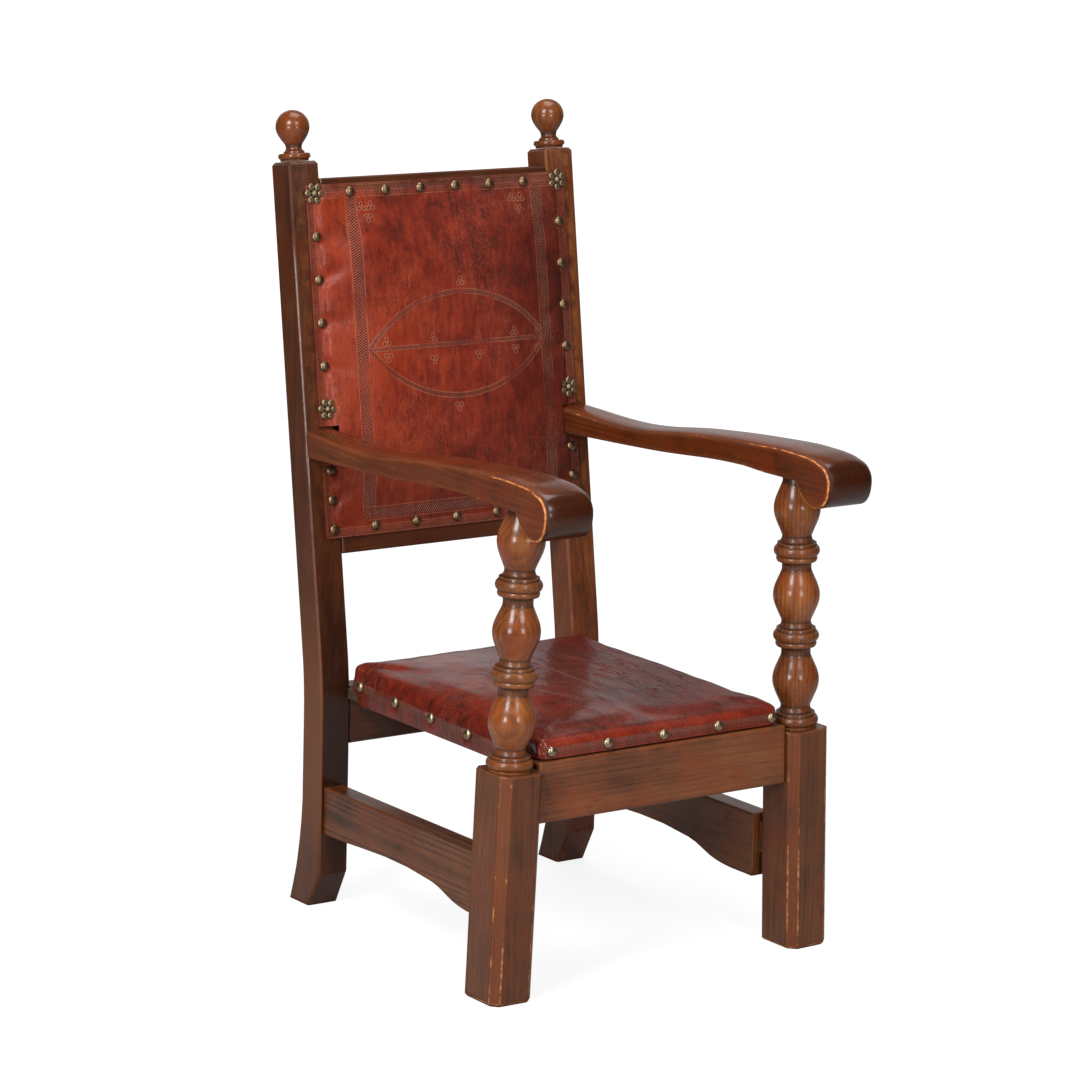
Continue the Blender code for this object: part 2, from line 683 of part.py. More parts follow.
def make_stretcher(name, side, posts):
    front = LEG_BACK + CLEARANCE
    rear = POST_SETBACK - CLEARANCE
    bottom = STRETCHER_TOP - STRETCHER_HEIGHT
    outline = [
        (rear, STRETCHER_TOP, "VECTOR"),
        (front, STRETCHER_TOP, "VECTOR"),
        (front, bottom - STRETCHER_DROP, "VECTOR"),
        (STRETCHER_DROP_END, bottom - STRETCHER_DROP + STRETCHER_EASE, "AUTO"),
        (STRETCHER_DROP_START, bottom, "AUTO"),
        (rear, bottom, "VECTOR"),
    ]
    centre = side * (STRETCHER_OUTER - STRETCHER_THICKNESS / 2)
    mesh = sawn_mesh(name, outline, STRETCHER_THICKNESS)
    mesh.transform(Matrix.Translation((centre, 0.0, 0.0)))
    stretcher = piece(name, mesh, oak)
    outer = STRETCHER_OUTER - STRETCHER_TENON_INSET
    width = STRETCHER_THICKNESS - 2 * TENON_CHEEK
    x = sorted((side * outer, side * (outer - width)))
    y = (LEG_BACK - STRETCHER_TENON, POST_SETBACK + STRETCHER_TENON)
    z = tenon_span(bottom, STRETCHER_TOP, TENON_SHOULDER)
    tenons(name, stretcher, posts, *span(x, y, z))
    return stretcher


def make_side_seat_rail(name, side, rails):
    """A hidden rail between the seat rails, stepped down behind for the rear bar."""
    bottom = RAIL_TOP - SIDE_RAIL_DROP
    front = FRONT_RAIL_BACK + CLEARANCE
    rear = POST_SETBACK - CLEARANCE
    step = BAR_REAR - REAR_BAR_DEPTH - CLEARANCE
    corners = [(rear, RAIL_TOP), (step, RAIL_TOP), (step, BAR_TOP)]
    corners += [(front, BAR_TOP), (front, bottom), (rear, bottom)]
    mesh = sawn_mesh(name, [(*corner, "VECTOR") for corner in corners], SIDE_RAIL_THICKNESS)
    x = sorted((side * SIDE_RAIL_INNER, side * BAR_HALF))
    mesh.transform(Matrix.Translation((sum(x) / 2, 0.0, 0.0)))
    rail = piece(name, mesh, pine)
    soften(rail, RAIL_EDGE)
    x = tenon_span(*x, TENON_CHEEK)
    y = (FRONT_RAIL_BACK - SIDE_RAIL_TENON, REAR_RAIL_FRONT + SIDE_RAIL_TENON)
    z = tenon_span(bottom, RAIL_TOP, SIDE_RAIL_SHOULDER)
    tenons(name, rail, rails, *span(x, y, z))
    return rail


def make_seat_bar(name, near, far, outer):
    """A tacking bar on the rails, with its outer corners rounded to fit in the leather."""
    bm = block(*span((-BAR_HALF, BAR_HALF), (near, far), (RAIL_TOP + CLEARANCE, BAR_TOP)))
    corners = []
    for edge in bm.edges:
        low, high = (vert.co for vert in edge.verts)
        upright = abs(low.z - high.z) > CLEARANCE
        if upright and abs(low.y - outer) < CLEARANCE:
            corners.append(edge)
    radius = SEAT_EDGE_RADIUS - LEATHER - CLEARANCE
    bmesh.ops.bevel(bm, geom=corners, offset=radius, segments=CORNER_STEPS, affect="EDGES", profile=ROUND)
    bar = piece(name, to_mesh(name, bm), pine)
    soften(bar, RAIL_EDGE)


def make_webbing():
    """Interlaced straps over the seat bars, as one lattice."""
    bottom = BAR_TOP + CLEARANCE
    x = (-SIDE_RAIL_INNER - WEBBING_INSET, SIDE_RAIL_INNER + WEBBING_INSET)
    y = (BAR_FRONT + WEBBING_INSET, BAR_REAR - WEBBING_INSET)
    z = (bottom, bottom + WEBBING)
    lattice = piece("seat_webbing", to_mesh("seat_webbing", block(*span(x, y, z))), jute)
    x_gap = (x[1] - x[0] - WEBBING_ALONG * WEBBING_WIDTH) / (WEBBING_ALONG - 1)
    y_gap = (y[1] - y[0] - WEBBING_ACROSS * WEBBING_WIDTH) / (WEBBING_ACROSS - 1)
    bm = bmesh.new()
    for column in range(WEBBING_ALONG - 1):
        for row in range(WEBBING_ACROSS - 1):
            left = x[0] + WEBBING_WIDTH + column * (WEBBING_WIDTH + x_gap)
            near = y[0] + WEBBING_WIDTH + row * (WEBBING_WIDTH + y_gap)
            through = (bottom - WEBBING, bottom + 2 * WEBBING)
            centre, size = span((left, left + x_gap), (near, near + y_gap), through)
            place = Matrix.Translation(centre) @ Matrix.Diagonal((*size, 1.0))
            bmesh.ops.create_cube(bm, size=1.0, matrix=place)
    boolean(lattice, helper("webbing_gaps", to_mesh("webbing_gaps", bm)), "DIFFERENCE")
    return bottom + WEBBING


def seat_swell(x, y):
    """How far the seat's top stands above its front edge."""
    across = 1 - (x / SEAT_HALF) ** 2
    share = (y - SEAT_FRONT) / (SEAT_REAR - SEAT_FRONT)
    along = 1 - (2 * share - 1) ** 2
    return SEAT_CROWN * max(across, 0.0) * max(along, 0.0) + SEAT_RISE * share


def seat_form(inset, base, edge):
    """Rounded block of the seat, drawn in by an inset, with the swell of its top."""
    ranges = (
        (inset - SEAT_HALF, SEAT_HALF - inset),
        (SEAT_FRONT + inset, SEAT_REAR - inset),
        (base, SEAT_EDGE_TOP),
    )
    bm = block(*span(*ranges))
    rounded = [edge for edge in bm.edges if max(vert.co.z for vert in edge.verts) > base]
    bmesh.ops.bevel(bm, geom=rounded, offset=edge, segments=CORNER_STEPS, affect="EDGES", profile=ROUND)
    cut_across(bm, 0, steps_between(-SEAT_HALF, SEAT_HALF, SEAT_COLUMNS))
    cut_across(bm, 1, steps_between(SEAT_FRONT, SEAT_REAR, SEAT_ROWS))
    return bm


def seat_hem(y):
    """Height of the leather's lower edge: over the rails in front and behind, lower at the sides."""
    front = RAIL_TOP + SEAT_FRONT_HEM
    side = RAIL_TOP - SEAT_SIDE_HEM
    past_front = smooth((y - FRONT_RAIL_BACK - SEAT_FRONT_HEM) / SEAT_EDGE_RADIUS)
    past_rear = smooth((SEAT_REAR - SEAT_EDGE_RADIUS - y) / SEAT_EDGE_RADIUS)
    return front + (side - front) * past_front * past_rear


def make_seat_leather():
    base = RAIL_TOP - SEAT_SIDE_HEM
    bm = seat_form(0.0, base, SEAT_EDGE_RADIUS)
    bottom = [face for face in bm.faces if all(vert.co.z < base + CLEARANCE for vert in face.verts)]
    bmesh.ops.delete(bm, geom=bottom, context="FACES")
    front = FRONT_RAIL_BACK + SEAT_FRONT_HEM
    rear = SEAT_REAR - SEAT_EDGE_RADIUS
    cut_across(bm, 1, [front, front + SEAT_EDGE_RADIUS, rear - SEAT_EDGE_RADIUS])
    cut_across(bm, 1, steps_between(front, front + SEAT_EDGE_RADIUS, HEM_STEPS))
    cut_across(bm, 1, steps_between(rear - SEAT_EDGE_RADIUS, rear, HEM_STEPS))
    for vert in bm.verts:
        x, y, z = vert.co
        hem = seat_hem(y)
        share = (z - base) / (SEAT_EDGE_TOP - base)
        vert.co.z = hem + (SEAT_EDGE_TOP + seat_swell(x, y) - hem) * share
    fold_short(bm)
    leather = piece("seat_leather", to_mesh("seat_leather", bm), hide)
    shell = leather.modifiers.new("Leather", "SOLIDIFY")
    shell.thickness = LEATHER
    shell.offset = -1.0
    shell.use_even_offset = True
    boolean(leather, helper("seat_nails", seat_nails_mesh()), "UNION")
    return leather


def make_seat_stuffing(webbing_top):
    base = webbing_top + CLEARANCE
    bm = seat_form(LEATHER + STUFFING_INSET, base, STUFFING_EDGE)
    for vert in bm.verts:
        x, y, z = vert.co
        share = (z - base) / (SEAT_EDGE_TOP - base)
        top = SEAT_EDGE_TOP + seat_swell(x, y) - LEATHER - PAD_CLEARANCE
        vert.co.z = base + (top - base) * share
    fold_short(bm)
    return piece("seat_stuffing", to_mesh("seat_stuffing", bm), hair)


def nail_dome(bm, place):
    """One nail head: the cap of a flattened ball, sunk a little into the leather."""
    ball = bmesh.ops.create_uvsphere(bm, u_segments=NAIL_STEPS, v_segments=NAIL_RINGS, radius=1.0)
    dome = ball["verts"]
    bmesh.ops.scale(bm, vec=(NAIL_RADIUS, NAIL_RADIUS, NAIL_HEIGHT), verts=dome)
    edges = list({edge for vert in dome for edge in vert.link_edges})
    faces = list({face for vert in dome for face in vert.link_faces})
    sunk = Vector((0.0, 0.0, -NAIL_SINK))
    result = bmesh.ops.bisect_plane(
        bm, geom=dome + edges + faces, plane_co=sunk, plane_no=(0, 0, -1), clear_outer=True
    )
    rim = [item for item in result["geom_cut"] if isinstance(item, bmesh.types.BMEdge)]
    bmesh.ops.contextual_create(bm, geom=rim)
    cap = set()
    for edge in rim:
        cap.update(edge.verts)
    grown = True
    while grown:
        linked = {other for vert in cap for edge in vert.link_edges for other in edge.verts}
        grown = not linked <= cap
        cap |= linked
    bmesh.ops.transform(bm, matrix=place, verts=list(cap))


def facing(direction, point):
    """Placement whose Z axis points in a direction."""
    turn = Vector(direction).to_track_quat("Z", "Y").to_matrix().to_4x4()
    return Matrix.Translation(point) @ turn


def seat_nails_mesh():
    """Nails along the front, the rear and both sides of the seat leather."""
    bm = bmesh.new()
    height = SEAT_EDGE_TOP - SEAT_NAIL_DROP
    across = SEAT_HALF - SEAT_NAIL_INSET
    for count in range(SEAT_NAILS):
        share = 2 * count / (SEAT_NAILS - 1) - 1
        nail_dome(bm, facing((0, -1, 0), (across * share, SEAT_FRONT, height)))
        inner = (POST_INNER - 2 * NAIL_RADIUS) * share
        nail_dome(bm, facing((0, 1, 0), (inner, SEAT_REAR, height)))
        depth = SEAT_REAR - 2 * SEAT_EDGE_RADIUS - SIDE_NAIL_PITCH * count
        for side in (-1, 1):
            point = (side * SEAT_HALF, depth, SEAT_EDGE_TOP - SIDE_NAIL_DROP)
            nail_dome(bm, facing((side, 0, 0), point))
    bmesh.ops.recalc_face_normals(bm, faces=bm.faces)
    return to_mesh("seat_nails", bm)


def back_swell(x, along):
    """How far the back leather bulges in front of the posts and rails."""
    low = back_length(BACK_LEATHER_BOTTOM)
    high = back_length(BACK_LEATHER_TOP)
    side = BACK_LEATHER_HALF - abs(x)
    end = min(along - low, high - along)
    inward = [smooth((edge - BACK_FLAT_MARGIN) / BACK_SLOPE) for edge in (side, end)]
    return BACK_CROWN * inward[0] * inward[1]


def back_cuts(bm):
    """The same edge loops in the back leather and in the stuffing under it."""
    low = back_length(BACK_LEATHER_BOTTOM)
    high = back_length(BACK_LEATHER_TOP)
    side = BACK_LEATHER_HALF - BACK_FLAT_MARGIN
    ends = [low + BACK_FLAT_MARGIN, high - BACK_FLAT_MARGIN]
    cut_across(bm, 0, steps_between(-side, side, BACK_COLUMNS) + [-side, side])
    cut_across(bm, 2, steps_between(*ends, BACK_ROWS) + ends)


def make_back_leather():
    low = back_length(BACK_LEATHER_BOTTOM)
    high = back_length(BACK_LEATHER_TOP)
    bm = bmesh.new()
    bmesh.ops.create_grid(bm, x_segments=1, y_segments=1, size=1.0)
    bmesh.ops.scale(bm, vec=(BACK_LEATHER_HALF, (high - low) / 2, 1.0), verts=bm.verts)
    upright = Matrix.Rotation(math.pi / 2, 4, "X")
    centred = Matrix.Translation((0.0, 0.0, (low + high) / 2))
    bmesh.ops.transform(bm, matrix=centred @ upright, verts=bm.verts)
    back_cuts(bm)
    for vert in bm.verts:
        vert.co.y = -CLEARANCE - back_swell(vert.co.x, vert.co.z)
    fold_short(bm)
    leather = piece("back_leather", to_mesh("back_leather", bm), hide, back_frame)
    shell = leather.modifiers.new("Leather", "SOLIDIFY")
    shell.thickness = LEATHER
    shell.offset = 1.0
    boolean(leather, helper("back_nails", back_nails_mesh(), back_frame), "UNION")
    heights = (ARM_REAR_UNDER - ARM_NOTCH, ARM_REAR_TOP + ARM_NOTCH)
    depth = back_front(ARM_REAR_TOP + ARM_NOTCH)
    depths = (depth - POST_DEPTH, depth)
    for hand, side in sides.items():
        ends = sorted((side * (POST_INNER - ARM_NOTCH), side * BACK_WIDTH / 2))
        notch = to_mesh("arm_notch", block(*span(ends, depths, heights)))
        boolean(leather, helper("arm_notch_" + hand, notch), "DIFFERENCE")
    return leather


def back_surface(x, along):
    """Depth of the leather's outer face in the back's own frame."""
    return -CLEARANCE - back_swell(x, along) - LEATHER


def rosette_places():
    """Two rosettes in the top corners of the back, and two lower down its sides."""
    x = BACK_LEATHER_HALF - NAIL_MARGIN
    top = back_length(BACK_LEATHER_TOP) - NAIL_MARGIN
    return x, top, back_length(ARM_REAR_TOP + LOWER_ROSETTE_RISE)


def back_nails_mesh():
    """Nails between the rosettes, down both sides and along the bottom."""
    x, top, middle = rosette_places()
    bottom = back_length(BACK_LEATHER_BOTTOM) + NAIL_MARGIN
    places = [(across, top) for across in steps_between(-x, x, TOP_NAILS + 1)]
    places += [(across, bottom) for across in steps_between(-x, x, BOTTOM_NAILS + 1)]
    heights = steps_between(middle, top, UPPER_SIDE_NAILS + 1)
    pitch = (back_length(ARM_REAR_UNDER) - bottom) / (LOWER_SIDE_NAILS - 0.5)
    heights += [bottom + pitch * count for count in range(LOWER_SIDE_NAILS)]
    for along in heights:
        places += [(-x, along), (x, along)]
    bm = bmesh.new()
    for across, along in places:
        nail_dome(bm, facing((0, -1, 0), (across, back_surface(across, along), along)))
    bmesh.ops.recalc_face_normals(bm, faces=bm.faces)
    return to_mesh("back_nails", bm)


def make_rosette(name, x, along):
    """A flower of six petals round a boss, from the upper half of a flattened ball."""
    bm = bmesh.new()
    bmesh.ops.create_uvsphere(bm, u_segments=ROSETTE_STEPS, v_segments=ROSETTE_RINGS, radius=1.0)
    geometry = bm.verts[:] + bm.edges[:] + bm.faces[:]
    bmesh.ops.bisect_plane(bm, geom=geometry, plane_co=(0, 0, 0), plane_no=(0, 0, -1), clear_outer=True)
    rim = [edge for edge in bm.edges if edge.is_boundary]
    bmesh.ops.contextual_create(bm, geom=rim)
    for vert in bm.verts:
        radius = math.hypot(vert.co.x, vert.co.y)
        petal = (1 + math.cos(ROSETTE_PETALS * math.atan2(vert.co.y, vert.co.x))) / 2
        reach = ROSETTE_RADIUS * (1 - ROSETTE_NOTCH * (1 - petal))
        boss = ROSETTE_BOSS * smooth(2 - 2 * radius / ROSETTE_BOSS)
        leaf = vert.co.z * (ROSETTE_LEAF + ROSETTE_PETAL * petal * smooth(2 * radius))
        vert.co = (vert.co.x * reach, vert.co.y * reach, ROSETTE_HEIGHT * (leaf + boss))
    rosette = piece(name, to_mesh(name, bm), brass, back_frame)
    rosette.matrix_local = facing((0, -1, 0), (x, back_surface(x, along) - CLEARANCE, along))
    return rosette


def make_back_stuffing():
    """The hair that fills the opening of the back, and the hessian that holds it."""
    end = POST_INNER - CLEARANCE
    low = back_length(BOTTOM_RAIL_BOTTOM) + BOTTOM_RAIL_HEIGHT + CLEARANCE
    high = back_length(TOP_RAIL_TOP) - TOP_RAIL_HEIGHT - CLEARANCE
    bm = block(*span((-end, end), (0.0, BACK_PAD_DEPTH), (low, high)))
    back_cuts(bm)
    for vert in bm.verts:
        share = 1 - vert.co.y / BACK_PAD_DEPTH
        vert.co.y += share * (PAD_CLEARANCE - back_swell(vert.co.x, vert.co.z))
    fold_short(bm)
    piece("back_stuffing", to_mesh("back_stuffing", bm), hair, back_frame)
    y = (BACK_PAD_DEPTH + CLEARANCE, BACK_PAD_DEPTH + CLEARANCE + HESSIAN)
    bm = block(*span((-end, end), y, (low, high)))
    piece("back_hessian", to_mesh("back_hessian", bm), jute, back_frame)


def make_outside_cover():
    """The panel that closes the back behind its rails."""
    end = POST_INNER - CLEARANCE
    low = back_length(BOTTOM_RAIL_BOTTOM) + OUTSIDE_COVER_MARGIN
    high = back_length(TOP_RAIL_TOP) - OUTSIDE_COVER_MARGIN
    near = BACK_RAIL_THICKNESS + CLEARANCE
    ranges = ((-end, end), (near, near + OUTSIDE_COVER), (low, high))
    piece("back_outside_cover", to_mesh("back_outside_cover", block(*span(*ranges))), lining, back_frame)


clear_scene()
parts = new_collection("child_armchair")
cutters = new_collection("cutters")
oak = finish("Oak, stained", (0.115, 0.042, 0.017), 0.36)
oak_turned = finish("Oak, turned and polished", (0.170, 0.062, 0.022), 0.30)
pine = finish("Pine", (0.420, 0.270, 0.140), 0.70)
hide = finish("Red-brown leather", (0.190, 0.026, 0.016), 0.38)
lining = finish("Dark leather lining", (0.060, 0.022, 0.014), 0.60)
jute = finish("Jute", (0.380, 0.270, 0.150), 0.90)
hair = finish("Curled hair", (0.090, 0.060, 0.040), 0.95)
brass = finish("Aged brass", (0.330, 0.230, 0.120), 0.40, 1.0)

chair = new_empty("chair")
chair.location.y = -depth_centre()
back_frame = new_empty("back_frame", chair)
back_frame.location = (0.0, BEND_END_Y, BEND_END_Z)
back_frame.rotation_euler.x = -RAKE

wide = (-FOOT_SPREAD, FOOT_SPREAD)
floor_below = helper("floor_below", to_mesh("floor_below", block(*span(wide, wide, (-LEG_WIDTH, 0.0)))))
sides = {"left": -1, "right": 1}
rear_posts = {}
front_posts = {}
for hand, side in sides.items():
    rear_posts[hand] = make_rear_post("rear_post_" + hand, side)
    make_finial("finial_" + hand, side, rear_posts[hand])
    front_posts[hand] = make_front_post("front_post_" + hand, side, floor_below)
    make_arm("arm_" + hand, side, rear_posts[hand], front_posts[hand])
    make_stretcher("side_stretcher_" + hand, side, [rear_posts[hand], front_posts[hand]])

front_rail = make_front_rail(list(front_posts.values()))
rear_rail = make_rear_rail(list(rear_posts.values()))
top_rail_low = back_length(TOP_RAIL_TOP) - TOP_RAIL_HEIGHT
make_back_rail("back_top_rail", list(rear_posts.values()), top_rail_low, TOP_RAIL_HEIGHT)
bottom_rail_low = back_length(BOTTOM_RAIL_BOTTOM)
make_back_rail("back_bottom_rail", list(rear_posts.values()), bottom_rail_low, BOTTOM_RAIL_HEIGHT)

for hand, side in sides.items():
    make_side_seat_rail("side_seat_rail_" + hand, side, [front_rail, rear_rail])
make_seat_bar("seat_front_bar", BAR_FRONT, FRONT_RAIL_BACK, BAR_FRONT)
make_seat_bar("seat_rear_bar", BAR_REAR - REAR_BAR_DEPTH, BAR_REAR, BAR_REAR)
make_seat_stuffing(make_webbing())
make_seat_leather()

make_back_stuffing()
make_outside_cover()
make_back_leather()
across, upper, lower = rosette_places()
for hand, side in sides.items():
    make_rosette("rosette_top_" + hand, side * across, upper)
    make_rosette("rosette_lower_" + hand, side * across, lower)
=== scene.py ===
"""Looks of the child's armchair: turned and polished oak, tooled leather and aged brass.

Metres, +Z up. The chair faces -Y. FRONT is the depth that the front legs are set out from, and the back
is laid out in a frame of its own, whose Z axis runs up the raked posts.
"""

import math

import bmesh
import bpy
from mathutils import Matrix, Vector, noise


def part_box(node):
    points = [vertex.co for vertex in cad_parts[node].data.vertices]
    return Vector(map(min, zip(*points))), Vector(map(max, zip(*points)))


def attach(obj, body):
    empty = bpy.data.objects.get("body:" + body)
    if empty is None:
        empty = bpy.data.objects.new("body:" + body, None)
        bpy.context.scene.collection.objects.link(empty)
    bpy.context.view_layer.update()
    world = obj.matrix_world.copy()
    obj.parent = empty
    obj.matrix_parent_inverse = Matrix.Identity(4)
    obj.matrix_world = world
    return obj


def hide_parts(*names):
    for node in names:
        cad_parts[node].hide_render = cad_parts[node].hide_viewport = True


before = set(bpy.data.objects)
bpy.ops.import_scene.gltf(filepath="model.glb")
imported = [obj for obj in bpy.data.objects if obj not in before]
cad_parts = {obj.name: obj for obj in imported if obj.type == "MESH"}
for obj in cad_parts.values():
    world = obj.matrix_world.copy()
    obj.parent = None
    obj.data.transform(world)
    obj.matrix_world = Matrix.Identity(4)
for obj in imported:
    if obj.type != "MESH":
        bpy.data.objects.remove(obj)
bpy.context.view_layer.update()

SIDES = {"left": -1, "right": 1}
BACK_RAILS = ["back_top_rail", "back_bottom_rail"]
SEAT_BARS = ["seat_front_bar", "seat_rear_bar"]
GAP = 0.0003
MERGE = 1e-6
EDGE_ANGLE = math.radians(30)
SMOOTH_ANGLE = math.radians(42)
WIDE_FACE = 1.5e-4

# Places taken over from the frame
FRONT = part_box("front_seat_rail")[0].y - 0.0064
RAKE = math.radians(8.1)
POST_FACE = 0.350
BEND_HEIGHT = 0.200
BEND_RADIUS = 0.070 / RAKE
BACK_FOOT = Vector((
    0,
    FRONT + POST_FACE + BEND_RADIUS * (1 - math.cos(RAKE)),
    BEND_HEIGHT + BEND_RADIUS * math.sin(RAKE),
))
BACK = Matrix.Translation(BACK_FOOT) @ Matrix.Rotation(-RAKE, 4, "X")
BACK_HALF = 0.346 / 2
POST_INNER = 0.138
POST_TOP = 0.7516
BACK_RAIL_LOW = 0.362
BACK_RAIL_HIGH = 0.734
TOP_RAIL_WIDTH = 0.036
BOTTOM_RAIL_WIDTH = 0.040
COVER_DEPTH = 0.0223
COVER_INSET = 0.004
HESSIAN_DEPTH = 0.0094

# Turned work
LEG_TOP = 0.222
LEG_WIDTH = 0.0480
LEG_DEPTH = 0.0555
LEG_AXIS = 0.0225
LEG_CHAMFER = 0.0078
FOOT_CHAMFER = 0.003
FOOT_SPREAD = 0.359
SPLAY = math.radians(2.0)
TURNED_STEPS = 72
VASE_RADIUS = 0.0230
NECK_RADIUS = 0.0145
RING_RADIUS = 0.0226
RING_HEIGHT = 0.0098
FILLET_RADIUS = 0.0194
FILLET_HEIGHT = 0.0030
BEAD_RADIUS = 0.0203
BEAD_HEIGHT = 0.0056
COVE_HEIGHT = 0.0070
COLLAR_HEIGHT = 0.0030
VASE_COUNT = 3
VASE_OGEE = 0.30
VASE_NECK = 0.0055
VASE_CUT = 0.0060
STEM_RADIUS = 0.0206
STEM_HEIGHT = 0.0020

# Arms
ARM_SEAT = 0.4745
ARM_CROWN = 0.505
ARM_REAR_TOP = 0.4885
ARM_REAR_UNDER = 0.4605
ARM_FLARE = 0.020
ARM_CROWNING = 0.0036
SCROLL_RADIUS = 0.0240
SCROLL_REACH = 0.0580
SCROLL_DROP = 0.0220

# Leather
LEATHER = 0.0022
LEATHER_HALF = 0.157
LEATHER_BOTTOM = 0.378
LEATHER_TOP = 0.728
BACK_CROWN = 0.0085
NAIL_MARGIN = 0.009
NAIL_RADIUS = 0.0053
NAIL_DOME = 0.62
NAIL_SINK = 0.0004
ROSETTE_RADIUS = 0.0112
SEAT_HALF = 0.145
SEAT_FRONT = 0.0105
SEAT_REAR = 0.3455
SEAT_EDGE_TOP = 0.250
SEAT_EDGE_RADIUS = 0.012
SEAT_MIDDLE = 0.175
SEAT_CROWN = 0.0070
SEAT_RISE = 0.0065
RAIL_TOP = 0.2284
SEAT_NAIL_DROP = 0.013
SIDE_NAIL_PITCH = 0.0635
SIDE_NAIL_TOP = 0.2350
SIDE_NAIL_SLOPE = 0.0335
SEAT_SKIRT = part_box("side_seat_rail_left")[0].z - 0.0002


def back_length(height):
    """Distance up the raked posts to a height."""
    return (height - BACK_FOOT.z) / math.cos(RAKE)


def back_depth(height):
    """Depth of the raked front of the posts at a height."""
    return BACK_FOOT.y + (height - BACK_FOOT.z) * math.tan(RAKE)


def smooth(share):
    share = min(max(share, 0.0), 1.0)
    return share * share * (3 - 2 * share)


# Finishes
BUMP_DEPTH = 0.001
HOLLOW_DARK = (0.012, 0.006, 0.004)


class Socket:
    """An output in a node tree, so that sums over a surface are written as Python expressions."""

    def __init__(self, tree, output=None):
        self.tree = tree
        self.output = output

    def node(self, kind, values=(), output=0, stops=(), **settings):
        """Adds a node of a type, sets its settings and then the values or links of its sockets."""
        made = self.tree.nodes.new(kind)
        for name, value in settings.items():
            setattr(made, name, value)
        if stops:
            ramp = made.color_ramp.elements
            while len(ramp) < len(stops):
                ramp.new(1.0)
            for element, (position, colour) in zip(ramp, stops):
                element.position = position
                element.color = (*colour, 1.0)
        for name, value in dict(values).items():
            if isinstance(value, Socket):
                self.tree.links.new(value.output, made.inputs[name])
            else:
                made.inputs[name].default_value = value
        return Socket(self.tree, made.outputs[output])

    def math(self, operation, *terms):
        return self.node("ShaderNodeMath", enumerate(terms), operation=operation)

    def __add__(self, other):
        return self.math("ADD", self, other)

    def __sub__(self, other):
        return self.math("SUBTRACT", self, other)

    def __rsub__(self, other):
        return self.math("SUBTRACT", other, self)

    def __mul__(self, other):
        return self.math("MULTIPLY", self, other)

    def __truediv__(self, other):
        return self.math("DIVIDE", self, other)

    def __abs__(self):
        return self.math("ABSOLUTE", self)

    __radd__ = __add__
    __rmul__ = __mul__

    def least(self, other):
        return self.math("MINIMUM", self, other)

    def most(self, other):
        return self.math("MAXIMUM", self, other)

    def wave(self, pitch):
        """A ripple from -1 to 1 with this pitch."""
        return self.math("SINE", self * (2 * math.pi / pitch))

    def saw(self, pitch):
        """A rise from 0 to 1 that starts again at each pitch."""
        return self.math("FRACT", self / pitch)

    def rise(self, start, end):
        """A smooth step from 0 at start to 1 at end."""
        values = {"Value": self, "From Min": start, "From Max": end}
        return self.node("ShaderNodeMapRange", values, interpolation_type="SMOOTHSTEP")

    def fall(self, start, end):
        return 1 - self.rise(start, end)

    def ramp(self, *stops):
        return self.node("ShaderNodeValToRGB", {"Fac": self}, stops=stops)

    def over(self, colour, amount, blend="MIX"):
        """This colour with another laid over it by an amount."""
        values = {0: amount, 6: self, 7: colour if isinstance(colour, Socket) else (*colour, 1.0)}
        return self.node("ShaderNodeMix", values, 2, data_type="RGBA", blend_type=blend)

    def moved(self, location=(0, 0, 0), turn=(0, 0, 0), scale=(1, 1, 1)):
        values = {"Vector": self, "Location": location, "Rotation": turn, "Scale": scale}
        return self.node("ShaderNodeMapping", values)

    def axis(self, name):
        return self.node("ShaderNodeSeparateXYZ", {"Vector": self}, name)

    def length(self):
        return self.node("ShaderNodeVectorMath", {0: self}, "Value", operation="LENGTH")

    def noise(self, scale, detail=2.0, rough=0.5, warp=0.0):
        values = {"Vector": self, "Scale": scale, "Detail": detail, "Roughness": rough, "Distortion": warp}
        return self.node("ShaderNodeTexNoise", values)

    def cells(self, scale):
        return self.node("ShaderNodeTexVoronoi", {"Vector": self, "Scale": scale}, feature="F1")

    def bump(self, height, strength, normal=None):
        values = {"Height": height, "Strength": strength, "Distance": BUMP_DEPTH}
        if normal is not None:
            values["Normal"] = normal
        return self.node("ShaderNodeBump", values)

    def attribute(self, name):
        return self.node("ShaderNodeAttribute", output="Fac", attribute_name=name)


class Finish:
    """A new material with its Object coordinates and its main shader."""

    def __init__(self, name):
        self.material = bpy.data.materials.new(name)
        self.material.use_nodes = True
        self.tree = self.material.node_tree
        self.shader = self.tree.nodes["Principled BSDF"]
        self.place = Socket(self.tree).node("ShaderNodeTexCoord", output="Object")

    def attribute(self, name):
        return Socket(self.tree).attribute(name)

    def set(self, **values):
        for name, value in values.items():
            socket = self.shader.inputs[name.replace("_", " ").title().replace("Ior", "IOR")]
            if isinstance(value, Socket):
                self.tree.links.new(value.output, socket)
            else:
                socket.default_value = value
        return self.material


GRAIN_TURNS = {"X": (0, math.pi / 2, 0), "Y": (math.pi / 2, 0, 0), "Z": (0, 0, 0)}


def shaded(tones, share):
    """Tones of a finish, all darker or lighter by a share."""
    return tuple(tuple(part * share for part in tone) for tone in tones)


